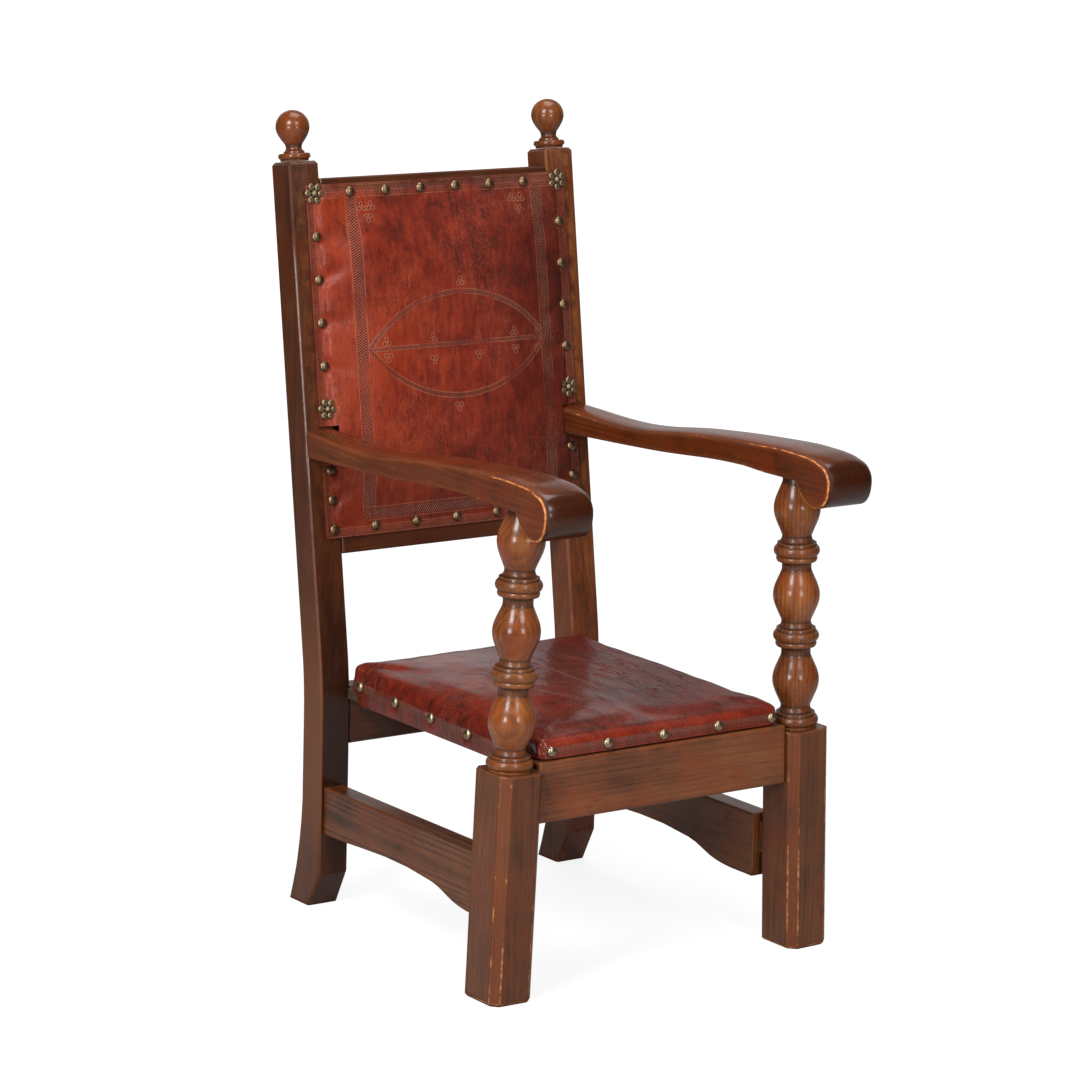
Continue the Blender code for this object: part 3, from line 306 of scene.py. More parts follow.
def oak_finish(
    name,
    grain,
    tones,
    pith=(0.05, 0.03),
    gloss=0.30,
    figure=0.05,
    streaks=0.42,
    ripple=0.20,
    open_pores=1.0,
    worn_low=0.0,
    worn_front=0.0,
    mottled=0.0,
    low_painted_light_and_shade=0.0,
    matt_edges=1.0,
):
    """Stained and polished oak: faint growth rings, streaks, open pores, worn edges and darker hollows, with
    painted shade on the arms' front faces and tops and, low on a post, painted light and shade.
    """
    finish = Finish(name)
    place = finish.place
    wood = place.moved(turn=GRAIN_TURNS[grain])
    warp = wood.moved(scale=(1, 1, 0.12)).noise(15, 3) - 0.5
    ring = (wood.moved(location=(*pith, 0), scale=(1, 1, 0.03)).length() + warp * 0.014).saw(0.0042)
    late = ring.rise(0.0, 0.70) - ring.rise(0.80, 1.0)
    streak = wood.moved(scale=(1, 1, 0.020)).noise(260, 4, 0.65)
    broad = wood.moved(scale=(1, 1, 0.06)).noise(42, 3, 0.6)
    cloud = place.noise(12, 4, 0.62)
    pores = wood.moved(scale=(1, 1, 0.04)).noise(1100, 2, 0.6).rise(0.57, 0.70) * open_pores
    middling = 0.025 + (figure + streaks) * 0.5
    tone = late * figure + streak * streaks + broad * 0.50 + cloud * 0.55 - middling
    dark, middle, light, worn = tones
    colour = tone.ramp((0.26, dark), (0.50, middle), (0.74, light))
    red = tuple(part * tint for part, tint in zip(middle, (1.25, 0.85, 0.60)))
    colour = colour.over(red, place.noise(22, 4, 0.65).rise(0.44, 0.66) * 0.65)
    colour = colour.over(dark, pores * 0.50)
    if mottled:
        across = abs(place.axis("X"))
        beside_hide = across.rise(0.150, 0.157) - across.rise(0.163, 0.170)
        strip = beside_hide * place.axis("Z").rise(0.36, 0.40) * mottled
        colour = colour.over(light, strip * place.noise(55, 3, 0.6).rise(0.42, 0.64) * 0.55)
        colour = colour.over((0.016, 0.007, 0.004), strip * place.noise(75, 3, 0.6).rise(0.46, 0.66) * 0.45)
    # Painted light and shade low on a post: its outer face lighter, its front and inner faces darker.
    if low_painted_light_and_shade:
        height = place.axis("Z")
        lower = (height.fall(0.20, 0.38) - height.fall(0.02, 0.14) * 0.8) * low_painted_light_and_shade
        outside = abs(place.axis("X")).rise(BACK_HALF - 0.0035, BACK_HALF - 0.0015)
        colour = colour.over(dark, lower * (1 - outside)).over(light, lower * outside)
    patches = place.noise(34, 5, 0.7)
    low = place.axis("Z").fall(0.0, 0.20) * worn_low
    front = place.axis("Y").fall(FRONT - 0.030, FRONT + 0.110) * worn_front
    edge = finish.attribute("worn")
    wear = edge.rise(0.88, 1.0) * (patches + low * 0.16 + front * 0.26).rise(0.57, 0.69)
    chips = place.moved(scale=(1, 1, 0.35)).noise(240, 3, 0.7).rise(0.71, 0.78)
    rubbed = (wear * (0.35 + 0.65 * place.noise(170, 3).rise(0.40, 0.60))).most(chips * 0.22)
    polished = tuple(part * tint for part, tint in zip(light, (0.90, 0.54, 0.38)))
    colour = colour.over(polished, finish.attribute("rubbed") * 0.66 * cloud)
    colour = colour.over(light, edge * edge * 0.30)
    # Painted shade on the arms: their front faces darkest and their tops a little.
    colour = colour.over(dark, finish.attribute("painted_face_shade") * (0.45 + 0.7 * cloud))
    colour = colour.over(worn, rubbed)
    hollow_dark = finish.attribute("hollow_dark")
    # Darker in hollows, and on turnings in their rings and necks.
    colour = colour.over(HOLLOW_DARK, hollow_dark * 0.80)
    bare = edge.rise(0.05, 0.40) * matt_edges
    rough = gloss + cloud * 0.10 + pores * 0.20 + hollow_dark * 0.25 + bare * 0.42
    relief = streak * 0.12 - pores * 0.30 + place.noise(26, 1) * 0.6
    return finish.set(
        base_color=colour,
        roughness=rough,
        normal=relief.bump(relief, ripple),
        coat_weight=0.18 * (1 - bare),
        coat_roughness=0.10,
        specular_ior_level=0.26,
    )


OAK = ((0.028, 0.0080, 0.0030), (0.106, 0.0335, 0.0112), (0.185, 0.0600, 0.0185), (0.42, 0.175, 0.065))
POST = ((0.019, 0.0052, 0.0020), (0.074, 0.0205, 0.0060), (0.150, 0.0455, 0.0122), (0.40, 0.165, 0.060))
ARM = ((0.020, 0.0050, 0.0016), (0.094, 0.0205, 0.0043), (0.170, 0.0415, 0.0082), (0.55, 0.200, 0.058))
TURNED = ((0.034, 0.0088, 0.0028), (0.146, 0.0420, 0.0115), (0.300, 0.0980, 0.0260), (0.42, 0.150, 0.042))
FINIAL = ((0.036, 0.0095, 0.0028), (0.118, 0.0340, 0.0086), (0.215, 0.0690, 0.0170), (0.50, 0.200, 0.060))
TURNED_PITH = (0.010, 0.042)
oak_posts = {
    "left": oak_finish("oak_post_left", "Z", shaded(POST, 0.82), mottled=1.0, low_painted_light_and_shade=0.85),
    "right": oak_finish("oak_post_right", "Z", shaded(POST, 1.45), mottled=1.0),
}
oak_leg = oak_finish("oak_legs", "Z", shaded(OAK, 0.84), (0.07, 0.05), 0.32, worn_low=1.0)
# Darker oak for the back rails, also on the rear seat rail as painted shade under the back of the seat.
oak_head = oak_finish("oak_back_rails", "X", shaded(POST, 0.75), (0.03, 0.06))
oak_rail = oak_finish("oak_seat_rails", "X", shaded(OAK, 1.25), (0.03, 0.06))
oak_stretcher = oak_finish("oak_stretchers", "Y", shaded(OAK, 0.84), (0.150, 0.100), figure=0.22)
oak_arm = oak_finish("oak_arms", "Y", ARM, (0.04, 0.30), 0.20, ripple=0.06, open_pores=0.4, worn_front=1.0)
turning = {"pith": TURNED_PITH, "gloss": 0.20, "ripple": 0.10, "open_pores": 0.5, "matt_edges": 0.0}
oak_turned = oak_finish("oak_turnings", "Z", TURNED, figure=0.09, streaks=0.34, **turning)
oak_finial = oak_finish("oak_finials", "Z", FINIAL, figure=0.08, streaks=0.40, **turning)


def pine_finish():
    """Rough sawn softwood, painted dark as the shade under the seat."""
    finish = Finish("pine_frame_painted_shade")
    long = finish.place.moved(scale=(1, 0.08, 1))
    bands = long.noise(90, 3)
    # Dark tones: painted shade on the frame under the seat.
    colour = (bands + finish.place.noise(14, 3) * 0.5).ramp(
        (0.35, (0.010, 0.005, 0.003)), (0.60, (0.026, 0.013, 0.006)), (0.90, (0.052, 0.027, 0.013))
    )
    return finish.set(base_color=colour, roughness=0.6 + bands * 0.3, normal=bands.bump(bands, 0.4))


def brass_finish(name, clean, dull, rough):
    """Aged brass: brown where it is touched least, bright where it is rubbed."""
    finish = Finish(name)
    patina = finish.place.noise(420, 4, 0.65).rise(0.38, 0.68)
    hollow_dark = finish.attribute("hollow_dark")
    colour = patina.ramp((0.0, clean), (1.0, dull))
    colour = colour.over(tuple(part * 1.4 for part in clean), finish.attribute("worn") * 0.5)
    colour = colour.over((0.018, 0.012, 0.008), hollow_dark * 0.85)
    speck = finish.place.noise(1500, 2)
    return finish.set(
        base_color=colour,
        metallic=1 - hollow_dark * 0.75,
        roughness=rough + patina * 0.12 + hollow_dark * 0.3,
        normal=speck.bump(speck, 0.10),
    )


def woven_finish(name, pale, dark, pitch):
    """Plain woven cloth, over and under in X and Y, or up the back in X and Z."""
    finish = Finish(name)
    across = finish.place.axis("X").wave(pitch)
    along = (finish.place.axis("Y") + finish.place.axis("Z")).wave(pitch)
    weave = across * along
    fuzz = finish.place.noise(600, 3)
    colour = (weave * 0.25 + fuzz).ramp((0.25, dark), (0.80, pale))
    relief = weave * 0.4 + fuzz
    return finish.set(base_color=colour, roughness=0.85 + fuzz * 0.1, normal=relief.bump(relief, 0.5))


pine = pine_finish()
nail_brass = brass_finish("aged_brass", (0.225, 0.146, 0.084), (0.090, 0.057, 0.031), 0.36)
cast_brass = brass_finish("cast_brass", (0.215, 0.156, 0.090), (0.095, 0.067, 0.038), 0.42)
# A paler brass for the seat's nails: rubbed by use, and partly painted light for the lamp they face.
rubbed_and_lit_brass = brass_finish("rubbed_and_lit_brass", (0.34, 0.268, 0.172), (0.185, 0.140, 0.085), 0.30)
jute = woven_finish("jute_webbing", (0.40, 0.29, 0.17), (0.13, 0.085, 0.045), 0.0022)
hessian = woven_finish("hessian", (0.30, 0.21, 0.12), (0.08, 0.052, 0.028), 0.0016)


# Tooling on the back, in the back's own frame
BAND_LEFT = -0.106
BAND_RIGHT = 0.120
BAND_LOW = 0.1305
BAND_WIDTH = 0.0130
OVAL_LEFT = -0.099
OVAL_RIGHT = 0.118
OVAL_LINE = 0.2945
OVAL_RISE = 0.0525
OVAL_WIDTH = 0.0050
HATCH = 0.0026
STAMPS_UP = [
    (0.0135, 0.3567), (-0.079, 0.301), (-0.023, 0.3018), (0.0314, 0.3018), (0.0762, 0.3016), (0.109, 0.302),
]
STAMPS_DOWN = [
    (0.0037, 0.2312), (-0.078, 0.286), (-0.0228, 0.2802), (0.0322, 0.2819), (0.0773, 0.2844), (0.105, 0.2835),
]
STAMP_CORNERS = (-0.0883, 0.0947)
STAMP_REACH = 0.0031
STAMP_RADIUS = 0.0019
SEAT_BAND_WIDTH = 0.0110
SEAT_BAND_HEIGHT = 0.2370
SEAT_OVAL_HALF = 0.062
SEAT_OVAL_RADIUS = 0.125


def tooled_band(offset, run, width, pitch, lined=True):
    """Relief of a rolled band: a raised line on either side and leaning strokes between them."""
    edge = abs(offset)
    lean = offset * 0.5 + offset.wave(width) * 0.0004 if lined else edge * 0.9
    strokes = (run - lean).wave(pitch) * edge.fall(width * 0.36, width * 0.42)
    return strokes + abs(edge - width / 2).fall(0.00025, 0.0007) * 0.8 if lined else strokes


def back_tooling(finish):
    """Relief of the tooling on the back, where the hide is darkened, with painted shade on its right, painted
    light on its left, and where it is without polish.
    """
    turn = (RAKE, 0, 0)
    local = finish.place.moved(location=-(Matrix.Rotation(RAKE, 3, "X") @ BACK_FOOT), turn=turn)
    x, z = local.axis("X"), local.axis("Z")
    upright = z.rise(BAND_LOW - 0.004, BAND_LOW) * z.fall(0.447, 0.450)
    left = tooled_band(x - BAND_LEFT, z, BAND_WIDTH, HATCH) * upright
    right = tooled_band(x - BAND_RIGHT, z, BAND_WIDTH, HATCH) * upright
    inside = x.rise(BAND_LEFT - 0.006, BAND_LEFT) * x.fall(BAND_RIGHT, BAND_RIGHT + 0.006)
    low = tooled_band(z - BAND_LOW, x, BAND_WIDTH, HATCH) * inside
    centre, chord = (OVAL_LEFT + OVAL_RIGHT) / 2, (OVAL_RIGHT - OVAL_LEFT) / 2
    radius = (chord * chord + OVAL_RISE * OVAL_RISE) / (2 * OVAL_RISE)
    above = abs(z - OVAL_LINE) + (radius - OVAL_RISE)
    spoke = Socket(finish.tree).node("ShaderNodeCombineXYZ", {"X": x - centre, "Y": above})
    within = x.rise(OVAL_LEFT - 0.002, OVAL_LEFT + 0.001) * x.fall(OVAL_RIGHT - 0.001, OVAL_RIGHT + 0.002)
    oval = tooled_band(spoke.length() - radius, x, OVAL_WIDTH, HATCH * 0.75) * within
    line = tooled_band(z - OVAL_LINE, x, OVAL_WIDTH * 0.8, HATCH * 0.75) * within
    top = back_length(LEATHER_TOP)
    border = (LEATHER_HALF - abs(x)).least((top - z).least(z - back_length(LEATHER_BOTTOM)))
    hem = tooled_band(border - 0.0050, x + z, 0.0078, HATCH * 0.8) * border.fall(0.0095, 0.011)
    head = tooled_band(z - (top - 0.0085), x, 0.0120, HATCH * 0.8)
    stamp = Socket(finish.tree).node("ShaderNodeAttribute", output="Vector", attribute_name="stamp")
    circles = []
    for count in range(3):
        angle = math.pi / 2 + count * math.tau / 3
        middle = (-STAMP_REACH * math.cos(angle), -STAMP_REACH * math.sin(angle), 0)
        circles.append(stamp.moved(location=middle).length())
    nearest = circles[0].least(circles[1]).least(circles[2])
    stamps = abs(nearest - STAMP_RADIUS).fall(0.0003, 0.0009) - nearest.fall(0.0005, 0.0013) * 0.8
    relief = left + right + low + oval + line + hem.most(head) + stamps
    # Darker near the hide's border and towards the bottom, and painted shade towards the right side.
    shade = border.fall(0.002, 0.012).most(x.rise(0.00, 0.15) * 0.85).most(z.fall(0.13, 0.24) * 0.50)
    # The third value is painted light towards the left side; the last is the border, without polish.
    return relief, shade, x.fall(-0.150, 0.030) * 0.15, border.fall(0.002, 0.012) * 0.5


def seat_tooling(finish):
    """Relief of the tooling on the seat, and where the hide is darkened, paler, and without polish."""
    place = finish.place
    x, y, z = place.axis("X"), place.axis("Y"), place.axis("Z")
    ahead = y.fall(FRONT + SEAT_FRONT + 0.006, FRONT + SEAT_FRONT + 0.009)
    beside = abs(x).rise(SEAT_HALF - 0.009, SEAT_HALF - 0.006)
    front = tooled_band(z - SEAT_BAND_HEIGHT, x, SEAT_BAND_WIDTH, HATCH, False) * ahead * (1 - beside)
    incline = SIDE_NAIL_SLOPE * (y - (FRONT + SEAT_REAR - 2 * SEAT_EDGE_RADIUS))
    side = tooled_band(z - incline - SIDE_NAIL_TOP, y, SEAT_BAND_WIDTH, HATCH, False) * beside * (1 - ahead)
    across, along = abs(x) + (SEAT_OVAL_RADIUS - SEAT_OVAL_HALF), y - (FRONT + SEAT_MIDDLE)
    spoke = Socket(finish.tree).node("ShaderNodeCombineXYZ", {"X": across, "Y": along})
    centre = place.moved(location=(0, -(FRONT + SEAT_MIDDLE), -0.25)).length().fall(0.030, 0.090)
    split = place.moved(turn=(0, 0, 0.9), scale=(1, 0.35, 1)).noise(70, 4, 0.6, 0.4)
    cracks = abs(split - 0.5).fall(0.003, 0.016) * centre
    sat_on = place.moved(location=(-0.045, -(FRONT + SEAT_MIDDLE), -0.25)).length().fall(0.060, 0.180)
    drag = place.moved(turn=(0, 0, -0.5), scale=(1, 0.22, 1)).noise(48, 5, 0.65, 0.5)
    broken = (abs(drag - 0.5).fall(0.004, 0.026) * sat_on * 0.9).most(cracks)
    blackened = sat_on * place.noise(17, 4, 0.65).rise(0.30, 0.54)
    top = z.rise(0.246, 0.250) * abs(along).fall(0.105, 0.110)
    oval = tooled_band(spoke.length() - SEAT_OVAL_RADIUS, y, OVAL_WIDTH, HATCH) * top
    line = tooled_band(x, y, OVAL_WIDTH * 0.8, HATCH) * top
    shade = (z.fall(0.230, 0.244) * beside * 0.3).most(broken).most(blackened)
    return front + side + (oval + line) * 0.6, shade, ahead * 0.12, broken


def leather_finish(name, tones, gloss, specular, coat, dulled, wrinkle, tooling):
    """Polished hide: pores, fine creases, rubbed and darkened places, painted light and shade from the
    tooling, and tooled ornament.
    """
    finish = Finish(name)
    place = finish.place
    cloud = place.noise(9, 4, 0.62, 0.6)
    mottle = place.noise(46, 4, 0.7)
    streak = place.moved(scale=(1, 1, 0.12)).noise(190, 4, 0.65)
    grain = place.cells(620)
    creases = place.moved(turn=(0.3, 0.9, 0.4), scale=(1, 1, 0.28)).noise(105, 5, 0.68, 0.8)
    tooled, edge, paler, broken = tooling(finish)
    tooled = tooled * (0.40 + 0.60 * place.noise(21, 4, 0.6).rise(0.34, 0.58))
    dark, middle, light, rubbed = tones
    # paler adds painted light on the back's left side, and a paler front hem on the seat.
    tone = cloud * 0.52 + mottle * 0.56 + streak * 0.52 + paler - 0.30
    colour = tone.ramp((0.30, dark), (0.50, middle), (0.72, light))
    colour = colour.over(dark, creases.fall(0.30, 0.42) * 0.55)
    # Darkening that the tooling gives, with painted shade on the back's right side.
    colour = colour.over(dark, edge * (0.35 + 0.5 * mottle))
    colour = colour.over(dark, tooled.fall(-0.8, -0.1) * 0.95)
    colour = colour.over(rubbed, tooled.rise(0.15, 0.85) * 0.34)
    fine = place.moved(turn=(0.3, 0.9, 0.4), scale=(1, 1, 0.4)).noise(300, 3, 0.6, 0.6)
    crackle = abs(fine - 0.5).fall(0.004, 0.030) * place.noise(14, 3).rise(0.42, 0.62)
    colour = colour.over(rubbed, crackle * 0.17)
    scuff = place.moved(turn=(0, 0.7, 0), scale=(1, 1, 0.2)).noise(160, 4, 0.7).rise(0.63, 0.76)
    colour = colour.over(rubbed, scuff * 0.15)
    dull = place.axis("X").rise(*dulled)
    rough = gloss + mottle * 0.14 + scuff * 0.12 + creases * 0.06 + dull * 0.16 + broken * 0.25
    folds = place.moved(turn=(0, 0, 0.6), scale=(1, 0.6, 0.6)).noise(44, 4, 0.6, 0.7)
    pits = place.noise(1300, 2) * 0.05 - grain * 0.16
    relief = folds * wrinkle + creases * 0.55 + mottle * 0.35 + pits + tooled * 0.85
    return finish.set(
        base_color=colour,
        roughness=rough,
        normal=relief.bump(relief, 0.55),
        coat_weight=coat * (1 - dull * 0.7) * (1 - broken),
        coat_roughness=0.14,
        specular_ior_level=specular,
    )


BACK_HIDE = ((0.030, 0.0046, 0.0020), (0.134, 0.0108, 0.0029), (0.238, 0.0262, 0.0066), (0.42, 0.165, 0.092))
SEAT_HIDE = ((0.026, 0.0050, 0.0036), (0.112, 0.0110, 0.0046), (0.190, 0.0180, 0.0060), (0.44, 0.175, 0.105))
LINING_HIDE = ((0.020, 0.0080, 0.0050), (0.050, 0.0180, 0.0110), (0.085, 0.032, 0.0200))
back_hide = leather_finish(
    "back_hide",
    shaded(BACK_HIDE, 0.94),
    gloss=0.32,
    specular=0.22,
    coat=0.08,
    dulled=(-0.12, 0.02),
    wrinkle=0.9,
    tooling=back_tooling,
)
seat_hide = leather_finish(
    "seat_hide",
    SEAT_HIDE,
    gloss=0.20,
    specular=0.16,
    coat=0.42,
    dulled=(-0.06, 0.10),
    wrinkle=2.8,
    tooling=seat_tooling,
)


def lining_finish():
    """Plain dark hide behind the back."""
    finish = Finish("outside_hide")
    cloud = finish.place.noise(12, 4, 0.6)
    grain = finish.place.cells(520)
    dark, middle, light = LINING_HIDE
    relief = cloud - grain * 0.3
    tone = cloud + finish.place.noise(70, 3) * 0.3 - 0.1
    colour = tone.ramp((0.30, dark), (0.55, middle), (0.80, light))
    return finish.set(base_color=colour, roughness=0.46 + cloud * 0.2, normal=relief.bump(relief, 0.4))


lining = lining_finish()


# Modelling


def only(piece):
    """Leaves object mode with one piece selected."""
    if bpy.context.mode != "OBJECT":
        bpy.ops.object.mode_set(mode="OBJECT")
    bpy.ops.object.select_all(action="DESELECT")
    piece.select_set(True)
    bpy.context.view_layer.objects.active = piece


def added(name):
    """The primitive that was added last, under its own name and with its place in its mesh."""
    piece = bpy.context.object
    piece.name = piece.data.name = name
    bpy.ops.object.transform_apply(location=True, rotation=True, scale=True)
    return piece


def edit(piece):
    only(piece)
    bpy.ops.object.mode_set(mode="EDIT")
    bpy.ops.mesh.select_mode(type="VERT")
    bpy.ops.mesh.select_all(action="SELECT")


def pick(piece, kind, wanted):
    """Selects the points, edges or faces for which a test holds."""
    bpy.ops.mesh.select_mode(type=kind)
    bpy.ops.mesh.select_all(action="DESELECT")
    shape = bmesh.from_edit_mesh(piece.data)
    for item in {"VERT": shape.verts, "EDGE": shape.edges, "FACE": shape.faces}[kind]:
        if wanted(item):
            item.select_set(True)
    bmesh.update_edit_mesh(piece.data)


def merged(piece):
    """Closes the seams of a mesh and turns its faces outwards."""
    edit(piece)
    bpy.ops.mesh.remove_doubles(threshold=MERGE)
    bpy.ops.mesh.normals_make_consistent(inside=False)
    only(piece)


def placed(piece, place):
    piece.matrix_world = place
    only(piece)
    bpy.ops.object.transform_apply(location=True, rotation=True, scale=True)
    return piece


def softened(piece, width, segments=3):
    """Rounds the sharp edges of a piece."""
    only(piece)
    bevel = piece.modifiers.new("soften", "BEVEL")
    bevel.width = width
    bevel.segments = segments
    bevel.limit_method = "ANGLE"
    bevel.angle_limit = EDGE_ANGLE
    bpy.ops.object.modifier_apply(modifier=bevel.name)


def framed(piece, margin):
    """Draws a margin inside each wide face, so that wear stays near the edges."""
    edit(piece)

    def wide(face):
        return face.calc_area() > 3 * margin * max(edge.calc_length() for edge in face.edges)

    pick(piece, "FACE", wide)
    bpy.ops.mesh.inset(thickness=margin, use_individual=True, use_even_offset=False)
    only(piece)


def marked(piece, low=0.30, high=0.75):
    """Stores where a piece stands out, as worn, and where it is hollow, as hollow_dark."""
    shape = bmesh.new()
    shape.from_mesh(piece.data)
    out, hollow = [], []
    for vert in shape.verts:
        turn = sum(edge.calc_face_angle_signed(0.0) for edge in vert.link_edges if edge.is_manifold)
        out.append(smooth((turn - low) / (high - low)))
        hollow.append(smooth((-turn - low) / (high - low)))
    shape.free()
    for name, values in (("worn", out), ("hollow_dark", hollow)):
        piece.data.attributes.new(name, "FLOAT", "POINT").data.foreach_set("value", values)


def handed(piece, finish, slot, *nodes):
    """Smooths a finished piece, gives it its finish, and sets it in the frame for the nodes it replaces."""
    only(piece)
    bpy.ops.object.shade_smooth_by_angle(angle=SMOOTH_ANGLE)
    piece.data.materials.clear()
    piece.data.materials.append(finish)
    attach(piece, "root")
    if nodes:
        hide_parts(*nodes)
    return piece


def copied(piece, name, place=None):
    """A copy of a piece with its own mesh, moved by a matrix."""
    copy = bpy.data.objects.new(name, piece.data.copy())
    copy.data.name = name
    bpy.context.scene.collection.objects.link(copy)
    if place is not None:
        copy.data.transform(place)
        if place.determinant() < 0:
            copy.data.flip_normals()
    return copy


def joined(name, pieces):
    only(pieces[0])
    for piece in pieces:
        piece.select_set(True)
    bpy.ops.object.join()
    pieces[0].name = pieces[0].data.name = name
    return pieces[0]


def turned(name, profile):
    """A turned piece: a chain of points, given as radius and height, spun about its axis."""
    radius, height = profile[0]
    bpy.ops.object.select_all(action="DESELECT")
    bpy.ops.mesh.primitive_plane_add(size=0.001, location=(radius, 0, height))
    piece = added(name)
    edit(piece)
    bpy.ops.mesh.merge(type="CENTER")
    for next_radius, next_height in profile[1:]:
        step = (next_radius - radius, 0, next_height - height)
        bpy.ops.mesh.extrude_vertices_move(TRANSFORM_OT_translate={"value": step})
        radius, height = next_radius, next_height
    bpy.ops.mesh.select_all(action="SELECT")
    bpy.ops.mesh.spin(steps=TURNED_STEPS, angle=math.tau, center=(0, 0, 0), axis=(0, 0, 1))
    merged(piece)
    return piece


def arc(count):
    """Shares of a quarter turn, from 0 to 1, without the first."""
    return [step / count for step in range(1, count + 1)]


def ring_edge(radius, bottom, height, steps=10, sweep=math.radians(120)):
    """Rounded edge of a turned ring."""
    points = []
    for step in range(steps + 1):
        share = 2 * step / steps - 1
        inward = height / 2 * (1 - math.cos(sweep / 2 * share))
        rise = math.sin(sweep / 2 * share) / math.sin(sweep / 2)
        points.append((radius - inward, bottom + height / 2 * (1 + rise)))
    return points


def vase(bottom, height, steps=14):
    """A vase that is full round its widest place and drawn in with an ogee at both ends."""
    swell = VASE_RADIUS - NECK_RADIUS
    points = []
    for step in range(2 * steps + 1):
        share = step / steps - 1
        full = math.cos(share * math.pi / 2)
        drawn = (1 + math.cos(share * math.pi)) / 2
        radius = NECK_RADIUS + swell * (full + (drawn - full) * VASE_OGEE)
        points.append((radius, bottom + height * (1 + share) / 2))
    return points


def support_levels():
    """Bottom, top and pitch of the vases of a front post, along its axis."""
    bottom = LEG_TOP + STEM_HEIGHT
    top = (ARM_SEAT - GAP - NECK_RADIUS * math.sin(SPLAY)) / math.cos(SPLAY)
    return bottom, top, (top + VASE_CUT - bottom) / VASE_COUNT


def support_profile():
    """Turned arm support, from the top of the leg block to the underside of the arm."""
    bottom, top, pitch = support_levels()
    flare = FILLET_RADIUS - NECK_RADIUS
    profile = [(0.0, LEG_TOP), (STEM_RADIUS, LEG_TOP), (STEM_RADIUS, bottom)]
    for count in range(VASE_COUNT):
        ring = bottom + pitch * count
        cove = ring + RING_HEIGHT + FILLET_HEIGHT
        foot = cove + COVE_HEIGHT
        bead = ring + pitch - BEAD_HEIGHT
        last = count == VASE_COUNT - 1
        collar = top if last else bead - COLLAR_HEIGHT
        profile += ring_edge(RING_RADIUS, ring, RING_HEIGHT)
        profile += [(FILLET_RADIUS, ring + RING_HEIGHT), (FILLET_RADIUS, cove)]
        for share in arc(5)[:-1]:
            turn = share * math.pi / 2
            rise = COVE_HEIGHT * (1 - math.cos(turn))
            profile.append((NECK_RADIUS + flare * (1 - math.sin(turn)), cove + rise))
        profile += vase(foot, collar - VASE_NECK - foot)
        profile.append((NECK_RADIUS, collar))
        if not last:
            for share in arc(5):
                turn = share * math.pi / 2
                rise = COLLAR_HEIGHT * math.sin(turn)
                profile.append((NECK_RADIUS + flare * (1 - math.cos(turn)), collar + rise))
            profile += ring_edge(BEAD_RADIUS, bead, BEAD_HEIGHT, 8)
    return profile + [(0.0, top)]


def finial_profile():
    """Base, ring, collar, neck and pear-shaped ball."""
    base, ring, collar, neck = 0.0024, 0.0080, 0.0100, 0.0160
    neck_radius, ball, lower, upper = 0.0079, 0.0170, 0.0185, 0.0165
    profile = [(0.0, 0.0), (0.0142, 0.0), (0.0142, base), *ring_edge(0.0162, base, ring - base)]
    profile += [(0.0105, ring), (0.0105, collar)]
    for share in arc(4)[:-1]:
        turn = share * math.pi / 2
        profile.append((neck_radius + 0.0026 * (1 - math.sin(turn)), collar + 0.004 * (1 - math.cos(turn))))
    profile.append((neck_radius, neck - 0.002))
    for share in arc(16):
        swell = (ball - neck_radius) * math.sin(share * math.pi / 2)
        profile.append((neck_radius + swell, neck + lower * share))
    middle = neck + lower
    for share in arc(12)[:-1]:
        turn = share * math.pi / 2
        profile.append((ball * math.cos(turn), middle + upper * math.sin(turn)))
    return profile + [(0.0, middle + upper)]


def make_finials():
    finial = turned("finial_pattern", finial_profile())
    softened(finial, 0.0004, 2)
    marked(finial)
    for hand, side in SIDES.items():
        spot = Matrix.Translation((side * (BACK_HALF - 0.0175), 0.017, back_length(POST_TOP) + GAP))
        piece = copied(finial, "ball_finial_" + hand, BACK @ spot @ Matrix.Rotation(side * 0.9, 4, "Z"))
        handed(piece, oak_finial, "oak_turned", "finial_" + hand)
    bpy.data.objects.remove(finial)


def moulding_darkening(stem):
    """Darkens the rings and necks of a turned stem, and leaves the bellies of its vases as they are."""
    bottom, _, pitch = support_levels()
    hollow_dark = stem.data.attributes["hollow_dark"].data
    for vert in stem.data.vertices:
        up = (vert.co.z - bottom) % pitch
        below = smooth((RING_HEIGHT + FILLET_HEIGHT + COVE_HEIGHT - up) / 0.004)
        ring = below + smooth((up - pitch + 0.012) / 0.004)
        neck = smooth((0.0185 - math.hypot(vert.co.x, vert.co.y)) / 0.006)
        shade = 0.34 * min(ring, 1.0) + 0.26 * neck
        hollow_dark[vert.index].value = min(hollow_dark[vert.index].value + shade, 1.0)


def on_front_chamfer(normal):
    level = normal.x ** 2 + normal.y ** 2
    return normal.y < 0 and level > 0.7 and abs(normal.x * normal.y) > 0.4


